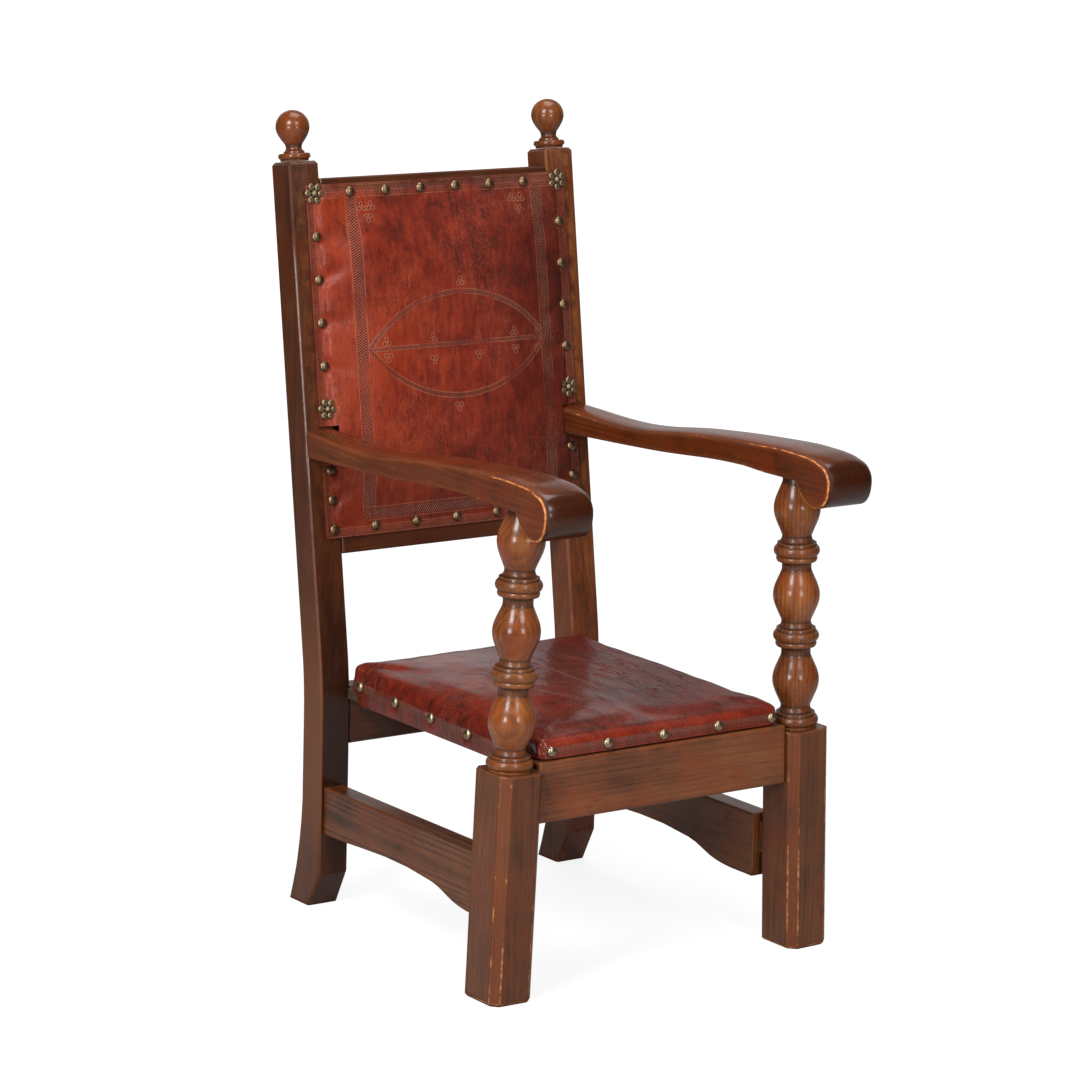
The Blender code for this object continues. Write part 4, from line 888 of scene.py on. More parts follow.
def make_front_posts():
    """Chamfered leg blocks with three turned vases above them, splayed at the feet."""
    support = turned("support_pattern", support_profile())
    softened(support, 0.0005, 2)
    marked(support)
    moulding_darkening(support)
    for hand, side in SIDES.items():
        drop = LEG_WIDTH / 2 * math.tan(SPLAY)
        bpy.ops.object.select_all(action="DESELECT")
        size = (LEG_WIDTH, LEG_DEPTH, LEG_TOP + drop)
        bpy.ops.mesh.primitive_cube_add(size=1, location=(0, 0, (LEG_TOP - drop) / 2), scale=size)
        leg = added("leg_block_" + hand)
        edit(leg)
        pick(leg, "EDGE", lambda edge: abs(edge.verts[0].co.z - edge.verts[1].co.z) > LEG_TOP / 2)
        bpy.ops.mesh.bevel(offset=LEG_CHAMFER, segments=1, affect="EDGES")
        pick(leg, "EDGE", lambda edge: all(vert.co.z < 0 for vert in edge.verts))
        bpy.ops.mesh.bevel(offset=FOOT_CHAMFER, segments=1, affect="EDGES")
        only(leg)
        softened(leg, 0.0009, 3)
        place = Matrix.Translation((side * FOOT_SPREAD / 2, FRONT + LEG_AXIS, 0))
        place = place @ Matrix.Rotation(-side * SPLAY, 4, "Y")
        placed(leg, place)
        edit(leg)
        bpy.ops.mesh.bisect(plane_co=(0, 0, 0), plane_no=(0, 0, 1), use_fill=True, clear_inner=True)
        framed(leg, 0.0028)
        stem = copied(support, "support_" + hand, place @ Matrix.Rotation(side * 0.8, 4, "Z"))
        marked(leg)
        rubbed = [float(on_front_chamfer(face.normal)) for face in leg.data.polygons]
        leg.data.attributes.new("rubbed", "FLOAT", "FACE").data.foreach_set("value", rubbed)
        leg.data.materials.append(oak_leg)
        stem.data.materials.append(oak_turned)
        post = joined("turned_front_post_" + hand, [leg, stem])
        only(post)
        bpy.ops.object.shade_smooth_by_angle(angle=SMOOTH_ANGLE)
        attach(post, "root")
        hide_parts("front_post_" + hand)
    bpy.data.objects.remove(support)


def arm_outline():
    """Side view of an arm: the top from the post, round the scroll, and back along the underside."""
    scroll_y = SCROLL_RADIUS - SCROLL_REACH
    scroll_z = ARM_SEAT - SCROLL_DROP + SCROLL_RADIUS
    outline = [
        (back_depth(ARM_REAR_TOP) - FRONT - GAP, ARM_REAR_TOP, "VECTOR"),
        (0.2650, ARM_REAR_TOP - 0.0030, "AUTO"),
        (0.1610, ARM_CROWN - 0.0085, "AUTO"),
        (0.0580, ARM_CROWN - 0.0015, "AUTO"),
        (0.0, ARM_CROWN - 0.0005, "AUTO"),
    ]
    for step in range(6):
        angle = math.radians(95 + 43 * step)
        depth, height = SCROLL_RADIUS * math.cos(angle), SCROLL_RADIUS * math.sin(angle)
        outline.append((scroll_y + depth, scroll_z + height, "AUTO"))
    return outline + [
        (-0.0036, ARM_SEAT, "VECTOR"),
        (0.0450, ARM_SEAT, "VECTOR"),
        (0.0845, ARM_SEAT + 0.0014, "AUTO"),
        (0.2230, ARM_SEAT - 0.0073, "AUTO"),
        (back_depth(ARM_REAR_UNDER) - FRONT - GAP, ARM_REAR_UNDER, "VECTOR"),
    ]


def make_arm(hand, side):
    """An arm sawn from a board to its side view, flared towards the front, with worn corners."""
    outline = arm_outline()
    bpy.ops.object.select_all(action="DESELECT")
    bpy.ops.curve.primitive_bezier_circle_add()
    curve = bpy.context.object
    curve.data.dimensions = "2D"
    curve.data.fill_mode = "BOTH"
    curve.data.extrude = 0.5
    curve.data.resolution_u = 14
    spline = curve.data.splines[0]
    spline.bezier_points.add(len(outline) - len(spline.bezier_points))
    for knot, (depth, height, handle) in zip(spline.bezier_points, outline):
        knot.co = (depth, height, 0)
        knot.handle_left_type = knot.handle_right_type = handle
    bpy.ops.object.convert(target="MESH")
    arm = added("scrolled_arm_" + hand)
    arm.data.transform(Matrix(((0, 0, 1), (1, 0, 0), (0, 1, 0))).to_4x4())
    merged(arm)
    edit(arm)
    pick(arm, "EDGE", lambda edge: all(abs(face.normal.x) > 0.9 for face in edge.link_faces))
    bpy.ops.mesh.dissolve_edges()
    pick(arm, "EDGE", lambda edge: abs(edge.verts[0].co.x - edge.verts[1].co.x) > 0.5)
    bpy.ops.mesh.subdivide(number_cuts=9)
    only(arm)
    rear = back_depth(ARM_SEAT) - FRONT
    hub = Vector((SCROLL_RADIUS - SCROLL_REACH, ARM_SEAT - SCROLL_DROP + SCROLL_RADIUS))
    for vert in arm.data.vertices:
        across = vert.co.x + 0.5
        outer = BACK_HALF + ARM_FLARE * (rear - vert.co.y) / (rear + SCROLL_REACH)
        spoke = Vector((vert.co.y, vert.co.z)) - hub
        way = spoke.normalized() if spoke.x < 0 else Vector((0, float(spoke.y > 0.006)))
        fade = smooth((way.y + 1) / 0.8) if spoke.x < 0 else 1.0
        way *= ARM_CROWNING * fade * (2 * across - 1) ** 4
        x = side * (POST_INNER + (outer - POST_INNER) * across)
        vert.co = (x, FRONT + vert.co.y - way.x, vert.co.z - way.y)
    merged(arm)
    softened(arm, 0.0013, 3)
    framed(arm, 0.003)
    marked(arm, 0.25, 0.55)
    middle = side * (POST_INNER + BACK_HALF + ARM_FLARE / 2) / 2
    worn = arm.data.attributes["worn"].data
    # Painted shade: faces that do not look sideways are darkened, those that look forward most.
    painted_face_shade = arm.data.attributes.new("painted_face_shade", "FLOAT", "POINT").data
    for vert in arm.data.vertices:
        outer = BACK_HALF + ARM_FLARE * (rear - vert.co.y + FRONT) / (rear + SCROLL_REACH)
        inset = min(abs(abs(vert.co.x) - POST_INNER), abs(abs(vert.co.x) - outer))
        worn[vert.index].value *= (1.0 if vert.co.x < middle else 0.2) * smooth((0.0022 - inset) / 0.0010)
        ahead = smooth(-vert.normal.y / 0.7)
        painted_face_shade[vert.index].value = smooth((0.8 - abs(vert.normal.x)) / 0.5) * (0.12 + 0.88 * ahead)
    handed(arm, oak_arm, "oak", "arm_" + hand)


def ruled(piece, margin):
    """Draws a line beside the edges of each wide flat face, so that wear stays near the edges."""
    planes = {}
    for face in piece.data.polygons:
        if face.area > WIDE_FACE:
            depth = face.normal.dot(face.center)
            plane = tuple(round(part, 2) for part in face.normal), round(depth, 3)
            planes[plane] = (face.center - face.normal * margin, face.normal.copy())
    edit(piece)
    bpy.ops.mesh.quads_convert_to_tris()
    for spot, normal in planes.values():
        bpy.ops.mesh.select_all(action="SELECT")
        bpy.ops.mesh.bisect(plane_co=spot, plane_no=normal)
    only(piece)


def make_board(name, node, finish, slot, edge=0.0008, margin=0.0026):
    """A sawn piece of the frame with its edges rounded and worn."""
    board = copied(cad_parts[node], name)
    edit(board)
    bpy.ops.mesh.remove_doubles(threshold=1e-5)
    bpy.ops.mesh.dissolve_limited(angle_limit=math.radians(0.6))
    softened(board, edge, 2)
    ruled(board, margin)
    marked(board)
    return handed(board, finish, slot, node)


def back_swell(x, along):
    """How far the back leather bulges in front of the posts and rails."""
    flat = NAIL_MARGIN + ROSETTE_RADIUS + GAP
    end = min(along - back_length(LEATHER_BOTTOM), back_length(LEATHER_TOP) - along)
    inward = [smooth((edge - flat) / 0.045) for edge in (LEATHER_HALF - abs(x), end)]
    return BACK_CROWN * inward[0] * inward[1]


def between(low, high, count):
    """Places that divide a length into this many equal steps, without its ends."""
    return [low + (high - low) * step / count for step in range(1, count)]


def rosette_places():
    x = LEATHER_HALF - NAIL_MARGIN
    top = back_length(LEATHER_TOP) - NAIL_MARGIN
    lower = back_length(ARM_REAR_TOP + 0.018)
    return {"top": (x, top), "lower": (x, lower)}


def back_nail_rows():
    """Rows of nails between the rosettes, down both sides and along the bottom of the back."""
    x, top = rosette_places()["top"]
    middle = rosette_places()["lower"][1]
    bottom = back_length(LEATHER_BOTTOM) + NAIL_MARGIN
    pitch = (back_length(ARM_REAR_UNDER) - bottom) / 2.5
    heights = between(middle, top, 5) + [bottom + pitch * count for count in range(3)]
    return {
        "top": [(across, top) for across in between(-x, x, 7)],
        "bottom": [(across, bottom) for across in between(-x, x, 6)],
        "left": [(-x, along) for along in heights],
        "right": [(x, along) for along in heights],
    }


def settled(piece, held, pressure, reach, frames=20):
    """Lets a hide fill out between its nails, and keeps each point within reach of where it was."""
    only(piece)
    start = [vert.co.copy() for vert in piece.data.vertices]
    group = piece.vertex_groups.new(name="held")
    for index, weight in enumerate(held):
        if weight > 0:
            group.add([index], weight, "REPLACE")
    cloth = piece.modifiers.new("settle", "CLOTH")
    cloth.settings.quality = 6
    cloth.settings.mass = 0.4
    cloth.settings.tension_stiffness = 20
    cloth.settings.compression_stiffness = 20
    cloth.settings.shear_stiffness = 8
    cloth.settings.bending_stiffness = 1.5
    cloth.settings.vertex_group_mass = group.name
    cloth.settings.use_pressure = True
    cloth.settings.uniform_pressure_force = pressure
    cloth.settings.effector_weights.gravity = 0
    cloth.collision_settings.use_collision = False
    for count in range(1, frames + 1):
        bpy.context.scene.frame_set(count)
    bpy.ops.object.modifier_apply(modifier=cloth.name)
    bpy.context.scene.frame_set(1)
    for vert, was in zip(piece.data.vertices, start):
        move = vert.co - was
        if move.length > reach:
            vert.co = was + move * (reach / move.length)


def finer(piece, levels):
    only(piece)
    cage = piece.modifiers.new("finer", "SUBSURF")
    cage.levels = cage.render_levels = levels
    bpy.ops.object.modifier_apply(modifier=cage.name)


def walled(piece, thickness, offset):
    """Gives a skin its thickness."""
    only(piece)
    wall = piece.modifiers.new("thickness", "SOLIDIFY")
    wall.thickness = thickness
    wall.offset = offset
    wall.use_even_offset = True
    bpy.ops.object.modifier_apply(modifier=wall.name)


def nearest_nail(x, z, nails):
    return min(math.hypot(x - nail_x, z - nail_z) for nail_x, nail_z in nails)


def side_pull(x, along):
    """Rise of the hide between the nails of one side, with a valley running in from each nail."""
    inward = LEATHER_HALF - NAIL_MARGIN - abs(x)
    share = smooth(inward / 0.008) * smooth((0.040 - inward) / 0.030)
    if share == 0:
        return 0.0
    row = back_nail_rows()["left" if x < 0 else "right"]
    valley = 0.0
    for count, (_, height) in enumerate(row):
        slope = 0.35 * math.sin(2.1 * count + (x < 0))
        off = along - height + slope * inward
        valley = max(valley, math.exp(-((off / 0.0075) ** 2)))
    return share * (0.0020 - 0.0030 * valley)


def make_back_leather():
    """Leather over the stuffed back: crowned, drawn down at its nails, and cut round the arms."""
    low, high = back_length(LEATHER_BOTTOM), back_length(LEATHER_TOP)
    bpy.ops.object.select_all(action="DESELECT")
    upright = (math.pi / 2, 0, 0)
    bpy.ops.mesh.primitive_grid_add(x_subdivisions=79, y_subdivisions=89, size=1, rotation=upright)
    leather = added("tooled_back_leather")
    nails = [spot for row in back_nail_rows().values() for spot in row]
    nails += [(side * x, z) for x, z in rosette_places().values() for side in (-1, 1)]
    held = []
    for vert in leather.data.vertices:
        x, z = vert.co.x * 2 * LEATHER_HALF, (low + high) / 2 + vert.co.z * (high - low)
        vert.co = (x, -GAP - back_swell(x, z), z)
        border = min(LEATHER_HALF - abs(x), z - low, high - z)
        near = nearest_nail(x, z, nails)
        held.append(1.0 if near < 0.0055 else 0.55 if border < 0.004 else 0.0)
    settled(leather, held, 5.0, 0.0032)
    finer(leather, 1)
    for vert in leather.data.vertices:
        x, z = vert.co.x, vert.co.z
        near = nearest_nail(x, z, nails)
        border = min(LEATHER_HALF - abs(x), z - low, high - z)
        margin = smooth(1 - border / 0.045) * smooth((near - 0.005) / 0.01)
        pucker = noise.noise(Vector((x * 60, z * 170, 3.0))) * margin
        sag = noise.noise(Vector((x * 26, z * 26, 7.0))) * smooth(border / 0.05)
        vert.co.y -= 0.0006 * pucker + 0.0008 * sag + side_pull(x, z)
        vert.co.y = min(vert.co.y, -GAP)
        if near < 0.012:
            vert.co.y += (-GAP - vert.co.y) * (1 - smooth((near - 0.0055) / 0.0065))
    edit(leather)
    notch_low, notch_high = back_length(ARM_REAR_UNDER - 0.0012), back_length(ARM_REAR_TOP + 0.0012)
    inner = POST_INNER - 0.0012
    cuts = [((0, 0, level), (0, 0, 1)) for level in (notch_low, notch_high)]
    cuts += [((across, 0, 0), (1, 0, 0)) for across in (-inner, inner)]
    for spot, normal in cuts:
        bpy.ops.mesh.select_all(action="SELECT")
        bpy.ops.mesh.bisect(plane_co=spot, plane_no=normal)

    def in_notch(face):
        middle = face.calc_center_median()
        return abs(middle.x) > inner and notch_low < middle.z < notch_high

    pick(leather, "FACE", in_notch)
    bpy.ops.mesh.delete(type="FACE")
    bpy.ops.mesh.select_all(action="SELECT")
    bpy.ops.mesh.remove_doubles(threshold=1e-5)
    only(leather)
    stamp = leather.data.attributes.new("stamp", "FLOAT_VECTOR", "POINT")
    stamps = [(x, z, 1) for x, z in STAMPS_UP] + [(x, z, -1) for x, z in STAMPS_DOWN]
    for corner in STAMP_CORNERS:
        stamps += [(corner - 0.0055, 0.4375, 1), (corner + 0.0055, 0.4375, 1)]
        stamps.append((corner + 0.0008, 0.4265, -1))
    offsets = []
    for vert in leather.data.vertices:
        x, z, way = min(stamps, key=lambda spot: math.hypot(vert.co.x - spot[0], vert.co.z - spot[1]))
        offsets += [vert.co.x - x, (vert.co.z - z) * way, 0.0]
    stamp.data.foreach_set("vector", offsets)
    walled(leather, LEATHER, 1.0)
    placed(leather, BACK)
    handed(leather, back_hide, "hide", "back_leather", "back_stuffing")


def seat_swell(x, y):
    """How far the seat's top stands above its front edge."""
    share = (y - SEAT_FRONT) / (SEAT_REAR - SEAT_FRONT)
    across = max(1 - (x / SEAT_HALF) ** 2, 0.0)
    return SEAT_CROWN * across * max(1 - (2 * share - 1) ** 2, 0.0) + SEAT_RISE * share


def seat_hem(y):
    """Height of the leather's lower edge: over the rails in front and behind, lower at the sides."""
    share = (y - SEAT_FRONT) / (SEAT_REAR - SEAT_FRONT)
    front, side = RAIL_TOP + 0.0018, SEAT_SKIRT - 0.0024 * (1 - share)
    past_front = smooth((y - 0.0322) / SEAT_EDGE_RADIUS)
    past_rear = smooth((SEAT_REAR - SEAT_EDGE_RADIUS - y) / SEAT_EDGE_RADIUS)
    return front + (side - front) * past_front * past_rear


def seat_nail_rows():
    """Nails round the seat, as places with the direction in which they face."""
    rows = {"front": [], "rear": [], "left": [], "right": []}
    for count in range(5):
        share = count / 2 - 1
        height = SEAT_EDGE_TOP - SEAT_NAIL_DROP
        rows["front"].append((((SEAT_HALF - 0.013) * share, FRONT + SEAT_FRONT, height), (0, -1, 0)))
        rows["rear"].append((((POST_INNER - 0.010) * share, FRONT + SEAT_REAR, height), (0, 1, 0)))
        depth = FRONT + SEAT_REAR - 2 * SEAT_EDGE_RADIUS - SIDE_NAIL_PITCH * count
        height = SIDE_NAIL_TOP - SIDE_NAIL_SLOPE * SIDE_NAIL_PITCH * count
        for hand, side in SIDES.items():
            rows[hand].append(((side * SEAT_HALF, depth, height), (side, 0, 0)))
    return rows


def make_seat_leather():
    """Leather over the stuffed seat, turned down over its edges and held by nails."""
    base = SEAT_SKIRT
    size = (2 * SEAT_HALF, SEAT_REAR - SEAT_FRONT, SEAT_EDGE_TOP - base)
    middle = (0, (SEAT_FRONT + SEAT_REAR) / 2, (SEAT_EDGE_TOP + base) / 2)
    bpy.ops.object.select_all(action="DESELECT")
    bpy.ops.mesh.primitive_cube_add(size=1, location=middle, scale=size)
    leather = added("nailed_seat_leather")
    edit(leather)
    pick(leather, "EDGE", lambda edge: max(vert.co.z for vert in edge.verts) > SEAT_EDGE_TOP - GAP)
    bpy.ops.mesh.bevel(offset=SEAT_EDGE_RADIUS, segments=4, affect="EDGES", profile=0.5)
    pick(leather, "FACE", lambda face: face.normal.z < -0.9)
    bpy.ops.mesh.delete(type="FACE")
    cuts = [((x, 0, 0), (1, 0, 0)) for x in between(-SEAT_HALF, SEAT_HALF, 58)]
    cuts += [((0, y, 0), (0, 1, 0)) for y in between(SEAT_FRONT, SEAT_REAR, 67)]
    cuts += [((0, 0, z), (0, 0, 1)) for z in between(base, SEAT_EDGE_TOP - SEAT_EDGE_RADIUS, 7)]
    for spot, normal in cuts:
        bpy.ops.mesh.select_all(action="SELECT")
        bpy.ops.mesh.bisect(plane_co=spot, plane_no=normal)
    bpy.ops.mesh.select_all(action="SELECT")
    bpy.ops.mesh.remove_doubles(threshold=0.0006)
    only(leather)
    nails = [Vector(place) for row in seat_nail_rows().values() for place, _ in row]
    held = []
    for vert in leather.data.vertices:
        x, y, z = vert.co
        hem = seat_hem(y)
        share = (z - base) / (SEAT_EDGE_TOP - base)
        vert.co.z = hem + (SEAT_EDGE_TOP + seat_swell(x, y) - hem) * share
        vert.co.y += FRONT
        near = min((vert.co - nail).length for nail in nails)
        held.append(1.0 if near < 0.006 else 0.6 if share < 0.05 else 0.0)
    settled(leather, held, 4.0, 0.0026)
    finer(leather, 1)
    for vert in leather.data.vertices:
        x, y, z = vert.co
        near = min((vert.co - nail).length for nail in nails)
        top = smooth((z - 0.245) / 0.006)
        sag = noise.noise(Vector((x * 20, y * 14, 2.0))) + 0.5 * noise.noise(Vector((x * 55, y * 40, 5.0)))
        vert.co.z -= 0.0011 * sag * top
        if near < 0.011:
            press = 1 - smooth((near - 0.005) / 0.006)
            vert.co.x -= math.copysign(0.0008, x) * press * (abs(x) > SEAT_HALF - 0.006)
    walled(leather, LEATHER, -1.0)
    merged(leather)
    handed(leather, seat_hide, "hide", "seat_leather")


def make_seat_stuffing():
    """Hair under hessian between the webbing and the seat leather."""
    stuffing = copied(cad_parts["seat_stuffing"], "hair_stuffing")
    edit(stuffing)
    bpy.ops.mesh.remove_doubles(threshold=1e-5)
    only(stuffing)
    finer(stuffing, 1)
    for vert in stuffing.data.vertices:
        vert.co += Vector((0, 0, -0.0004)) * (1 + noise.noise(vert.co * 60)) * (vert.normal.z > 0.5)
    handed(stuffing, hessian, "hair", "seat_stuffing")


def make_back_lining():
    """Hessian behind the stuffing and the plain hide that closes the back."""
    turned_back = (-math.pi / 2, 0, 0)
    half = POST_INNER - 0.0012
    low, high = back_length(BACK_RAIL_LOW) + COVER_INSET, back_length(BACK_RAIL_HIGH) - COVER_INSET
    bpy.ops.object.select_all(action="DESELECT")
    bpy.ops.mesh.primitive_grid_add(x_subdivisions=56, y_subdivisions=72, size=1, rotation=turned_back)
    cover = added("outside_back_hide")
    for vert in cover.data.vertices:
        x, z = vert.co.x * 2 * half, (low + high) / 2 + vert.co.z * (high - low)
        edge = min(half - abs(x), z - low, high - z)
        wave = noise.noise(Vector((x * 30, z * 30, 1.0)))
        depth = COVER_DEPTH + 0.0014 * smooth(edge / 0.03) + 0.0003 * wave * smooth(edge / 0.01)
        vert.co = (x, depth, z)
    walled(cover, 0.0012, -1.0)
    placed(cover, BACK)
    handed(cover, lining, "lining", "back_outside_cover")
    low = back_length(BACK_RAIL_LOW) + BOTTOM_RAIL_WIDTH + GAP
    high = back_length(BACK_RAIL_HIGH) - TOP_RAIL_WIDTH - GAP
    bpy.ops.object.select_all(action="DESELECT")
    bpy.ops.mesh.primitive_grid_add(x_subdivisions=30, y_subdivisions=36, size=1, rotation=turned_back)
    backing = added("hessian_backing")
    half = POST_INNER - GAP
    for vert in backing.data.vertices:
        x, z = vert.co.x * 2 * half, (low + high) / 2 + vert.co.z * (high - low)
        vert.co = (x, HESSIAN_DEPTH + 0.0003 * noise.noise(Vector((x * 40, z * 40, 4.0))), z)
    walled(backing, 0.0008, -1.0)
    placed(backing, BACK)
    handed(backing, hessian, "jute", "back_hessian")


def make_webbing():
    """Interlaced straps under the stuffing, over and under in turn."""
    low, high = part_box("seat_webbing")
    width, thick = 0.040, 0.0006
    centre = (low.z + high.z) / 2
    xs = [low.x + width / 2 + count * (high.x - low.x - width) / 2 for count in range(3)]
    ys = [low.y + width / 2 + count * (high.y - low.y - width) / 3 for count in range(4)]
    straps = [("across_%d" % count, y, 0, low.x, high.x, xs, count) for count, y in enumerate(ys)]
    straps += [("along_%d" % count, x, 1, low.y, high.y, ys, count + 1) for count, x in enumerate(xs)]
    for name, middle, run, start, end, crossings, first in straps:
        bpy.ops.object.select_all(action="DESELECT")
        bpy.ops.mesh.primitive_grid_add(x_subdivisions=90, y_subdivisions=8, size=1)
        strap = added("webbing_strap_" + name)
        for vert in strap.data.vertices:
            along = (start + end) / 2 + vert.co.x * (end - start)
            across = middle + vert.co.y * width
            lift = 0.0
            for count, crossing in enumerate(crossings):
                way = 1 if (count + first) % 2 else -1
                lift += way * smooth((0.034 - abs(along - crossing)) / 0.014)
            height = centre + 0.00042 * lift
            vert.co = (across, along, height) if run else (along, across, height)
        walled(strap, thick, 0.0)
        merged(strap)
        handed(strap, jute, "jute", *(["seat_webbing"] if name == "across_0" else []))
        end - start


def make_nails():
    """Domed brass nail heads in rows round the back and the seat."""
    bpy.ops.object.select_all(action="DESELECT")
    bpy.ops.mesh.primitive_uv_sphere_add(
        segments=24, ring_count=16, radius=NAIL_RADIUS, scale=(1, 1, NAIL_DOME)
    )
    pattern = added("nail_pattern")
    edit(pattern)
    bpy.ops.mesh.bisect(plane_co=(0, 0, -0.0006), plane_no=(0, 0, 1), use_fill=True, clear_inner=True)
    only(pattern)
    softened(pattern, 0.0003, 2)
    marked(pattern, 0.5, 1.2)
    rows = {}
    for name, places in back_nail_rows().items():
        facing = Matrix.Rotation(math.pi / 2, 4, "X")
        rows["back_" + name] = [
            BACK @ Matrix.Translation((x, -GAP - LEATHER - NAIL_SINK, z)) @ facing for x, z in places
        ]
    for name, places in seat_nail_rows().items():
        rows["seat_" + name] = []
        for place, direction in places:
            turn = Vector(direction).to_track_quat("Z", "Y").to_matrix().to_4x4()
            spot = Vector(place) + Vector(direction) * NAIL_SINK
            rows["seat_" + name].append(Matrix.Translation(spot) @ turn)
    for name, places in rows.items():
        row = [copied(pattern, "nail", place) for place in places]
        finish = rubbed_and_lit_brass if name.startswith("seat") else nail_brass
        handed(joined("nails_" + name, row), finish, "brass")
    bpy.data.objects.remove(pattern)


def make_rosettes():
    """Cast brass flowers: six cupped petals round a boss."""
    bpy.ops.object.select_all(action="DESELECT")
    bpy.ops.mesh.primitive_uv_sphere_add(
        segments=24, ring_count=16, radius=1, location=(0.0073, 0, 0.0010), scale=(0.0040, 0.0036, 0.0026)
    )
    petal = added("petal_pattern")
    for vert in petal.data.vertices:
        cup = math.exp(-((vert.co.x - 0.0074) / 0.0023) ** 2 - (vert.co.y / 0.0023) ** 2)
        vert.co.z -= 0.0010 * cup * (vert.co.z > 0.0012)
    turns = [Matrix.Rotation(count * math.tau / 6 + 0.2, 4, "Z") for count in range(6)]
    petals = [copied(petal, "petal", turn) for turn in turns]
    bpy.data.objects.remove(petal)
    bpy.ops.object.select_all(action="DESELECT")
    bpy.ops.mesh.primitive_uv_sphere_add(
        segments=24, ring_count=16, radius=1, location=(0, 0, 0.0014), scale=(0.0035, 0.0035, 0.0032)
    )
    flower = joined("rosette_pattern", [added("boss"), *petals])
    only(flower)
    flower.data.remesh_voxel_size = 0.00022
    bpy.ops.object.voxel_remesh()
    ease = flower.modifiers.new("ease", "SMOOTH")
    ease.iterations = 2
    bpy.ops.object.modifier_apply(modifier=ease.name)
    edit(flower)
    bpy.ops.mesh.bisect(plane_co=(0, 0, 0.0001), plane_no=(0, 0, 1), clear_inner=True)
    bpy.ops.mesh.select_all(action="SELECT")
    bpy.ops.mesh.fill_holes(sides=0)
    only(flower)
    marked(flower, 0.02, 0.20)
    facing = Matrix.Rotation(math.pi / 2, 4, "X")
    for level, (x, along) in rosette_places().items():
        for hand, side in SIDES.items():
            spot = Matrix.Translation((side * x, -2 * GAP - LEATHER, along)) @ facing
            turn = Matrix.Rotation(side * 0.3, 4, "Z")
            piece = copied(flower, "flower_%s_%s" % (level, hand), BACK @ spot @ turn)
            handed(piece, cast_brass, "brass", "rosette_%s_%s" % (level, hand))
    bpy.data.objects.remove(flower)


# Stage


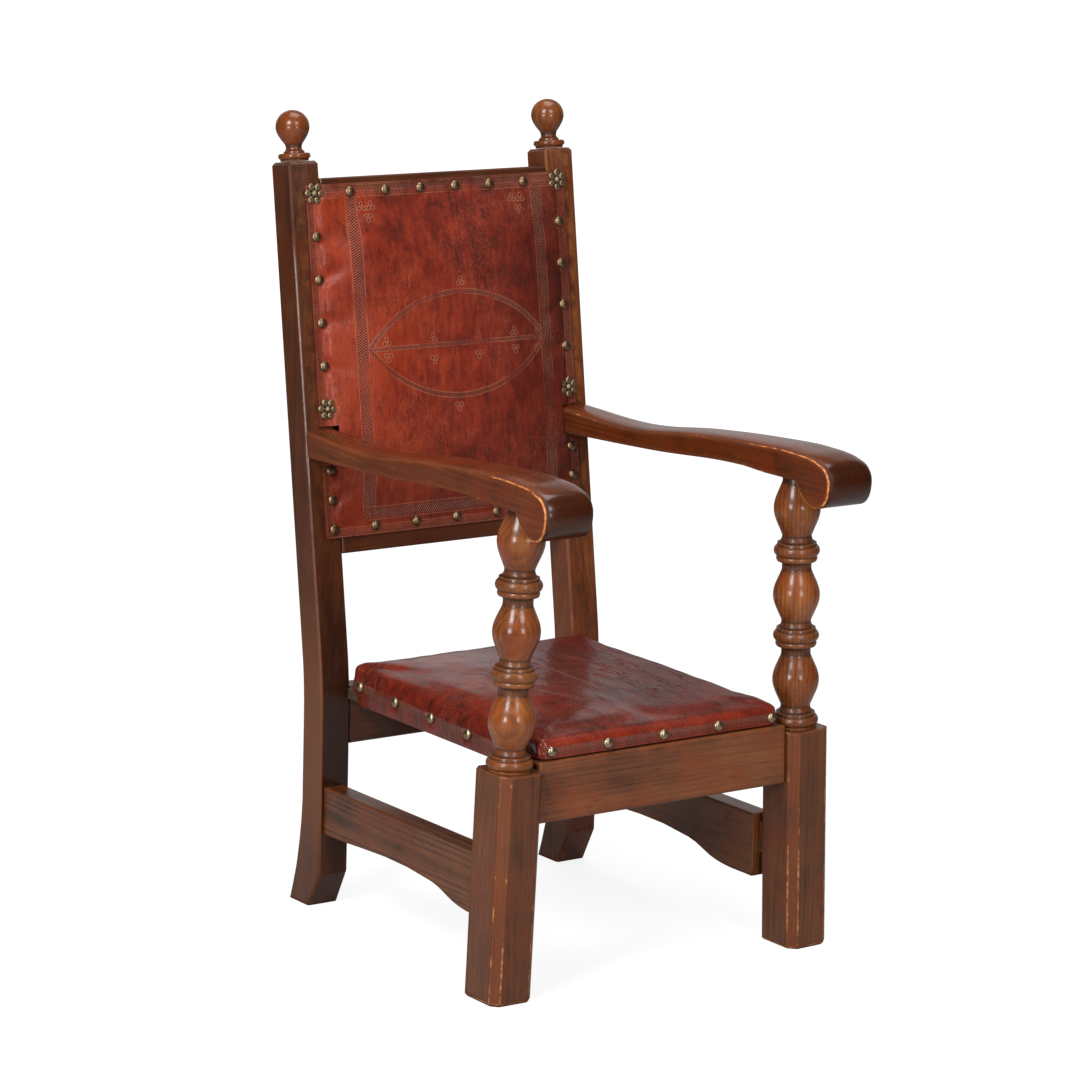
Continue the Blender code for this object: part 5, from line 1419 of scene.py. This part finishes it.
def make_stage():
    """A white floor that sweeps up behind the chair, softboxes, two low strips and a dim room."""
    heading = math.radians(54)
    bpy.ops.object.select_all(action="DESELECT")
    bpy.ops.mesh.primitive_plane_add(size=12, rotation=(0, 0, heading - math.pi / 2))
    floor = added("studio_sweep")
    ahead = Vector((math.cos(heading), math.sin(heading), 0))
    edit(floor)
    pick(floor, "EDGE", lambda edge: all(vert.co.dot(ahead) > 5 for vert in edge.verts))
    bpy.ops.mesh.extrude_edges_move(TRANSFORM_OT_translate={"value": (0, 0, 5)})
    pick(floor, "EDGE", lambda edge: all(vert.co.dot(ahead) > 5 and vert.co.z < 1 for vert in edge.verts))
    bpy.ops.mesh.bevel(offset=2.0, segments=16, affect="EDGES")
    only(floor)
    bpy.ops.object.shade_smooth()
    finish = Finish("studio_white")
    path = Socket(finish.tree)
    seen = path.node("ShaderNodeLightPath", output="Is Camera Ray")
    mirrored = path.node("ShaderNodeLightPath", output="Is Glossy Ray")
    depth = finish.place.axis("X") * ahead.x + finish.place.axis("Y") * ahead.y
    behind = depth.rise(0.8, 2.6)
    far = finish.place.length().rise(1.5, 4.5)
    wall = finish.place.axis("Z").rise(0.1, 0.6)
    near = finish.place.length().fall(0.5, 1.6)
    pale = seen.ramp((0.0, (0.34, 0.34, 0.34)), (1.0, (0.80, 0.80, 0.80)))
    finish.set(base_color=pale, roughness=0.9)
    glow = finish.tree.nodes.new("ShaderNodeEmission")
    finish.tree.links.new((1.128 + behind * 0.105 + far * 0.150).output, glow.inputs["Strength"])
    mix = finish.tree.nodes.new("ShaderNodeMixShader")
    share = (seen * 0.77).most(mirrored * (near * 0.12).most(wall * 0.38))
    finish.tree.links.new(share.output, mix.inputs[0])
    finish.tree.links.new(finish.shader.outputs[0], mix.inputs[1])
    finish.tree.links.new(glow.outputs[0], mix.inputs[2])
    finish.tree.links.new(mix.outputs[0], finish.tree.nodes["Material Output"].inputs[0])
    floor.data.materials.append(finish.material)
    world = bpy.data.worlds.new("dim_room")
    world.use_nodes = True
    room = Socket(world.node_tree)
    white = room.node("ShaderNodeBackground", {"Color": (1, 1, 1, 1)})
    dim = room.node("ShaderNodeBackground", {"Color": (0.06, 0.06, 0.062, 1)})
    seen = room.node("ShaderNodeLightPath", output="Is Camera Ray")
    backdrop = room.node("ShaderNodeMixShader", {0: seen, 1: dim, 2: white})
    world.node_tree.links.new(backdrop.output, world.node_tree.nodes["World Output"].inputs["Surface"])
    bpy.context.scene.world = world
    target = Vector((0, 0, 0.40))
    lamps = {
        "softbox_left": ((-2.03, -0.86, 2.17), (0.8, 1.0), 66),
        "softbox_right": ((-0.19, -2.20, 2.17), (0.8, 1.0), 34),
        "strip_left": ((-2.05, -0.95, 0.72), (0.50, 0.55), 20),
        "strip_right": ((-0.30, -2.25, 0.72), (0.45, 0.55), 12),
        "softbox_top": ((0.3, 0.3, 3.0), (1.6, 1.6), 40),
        "softbox_rear": ((1.7, 1.9, 2.3), (1.8, 1.8), 24),
    }
    for name, (place, size, power) in lamps.items():
        bpy.ops.object.light_add(type="AREA", location=place)
        lamp = bpy.context.object
        lamp.name = name
        lamp.rotation_euler = (target - Vector(place)).to_track_quat("-Z", "Y").to_euler()
        lamp.data.shape = "RECTANGLE"
        lamp.data.size, lamp.data.size_y = size
        lamp.data.energy = power
        lamp.visible_glossy = name != "softbox_rear"


def make_camera():
    """A long lens from the front and the left, a little above the finials."""
    turn, distance, height = 0.62869, 3.959183, 1.211467
    yaw, pitch, roll = -0.007659, 0.202735, 0.0248986
    heading = Vector((math.sin(turn + yaw), math.cos(turn + yaw), 0))
    ahead = heading * math.cos(pitch) - Vector((0, 0, math.sin(pitch)))
    right = ahead.cross(Vector((0, 0, 1))).normalized()
    up = right.cross(ahead)
    right, up = right * math.cos(roll) + up * math.sin(roll), up * math.cos(roll) - right * math.sin(roll)
    place = (-math.sin(turn) * distance, 0.170 - math.cos(turn) * distance + FRONT, height)
    bpy.ops.object.camera_add()
    camera = bpy.context.object
    camera.name = "photo_camera"
    camera.data.sensor_width = 36
    camera.data.lens = 137.253
    camera.matrix_world = Matrix.Translation(place) @ Matrix((right, up, -ahead)).transposed().to_4x4()
    bpy.context.scene.camera = camera


make_camera()
make_stage()
bpy.context.scene.view_settings.view_transform = "Standard"

make_finials()
make_front_posts()
for hand, side in SIDES.items():
    make_arm(hand, side)
    make_board("rear_post_worn_" + hand, "rear_post_" + hand, oak_posts[hand], "oak")
    make_board("stretcher_worn_" + hand, "side_stretcher_" + hand, oak_stretcher, "oak")
    make_board("side_rail_sawn_" + hand, "side_seat_rail_" + hand, pine, "pine")
make_board("front_seat_rail_worn", "front_seat_rail", oak_rail, "oak")
# The rear seat rail takes the back rails' darker oak: painted shade under the back of the seat.
for node in ("rear_seat_rail", *BACK_RAILS):
    make_board(node + "_worn", node, oak_head, "oak")
for node in SEAT_BARS:
    make_board(node + "_sawn", node, pine, "pine")
make_back_leather()
make_seat_leather()
make_seat_stuffing()
make_back_lining()
make_webbing()
make_nails()
make_rosettes()

bpy.context.view_layer.update()
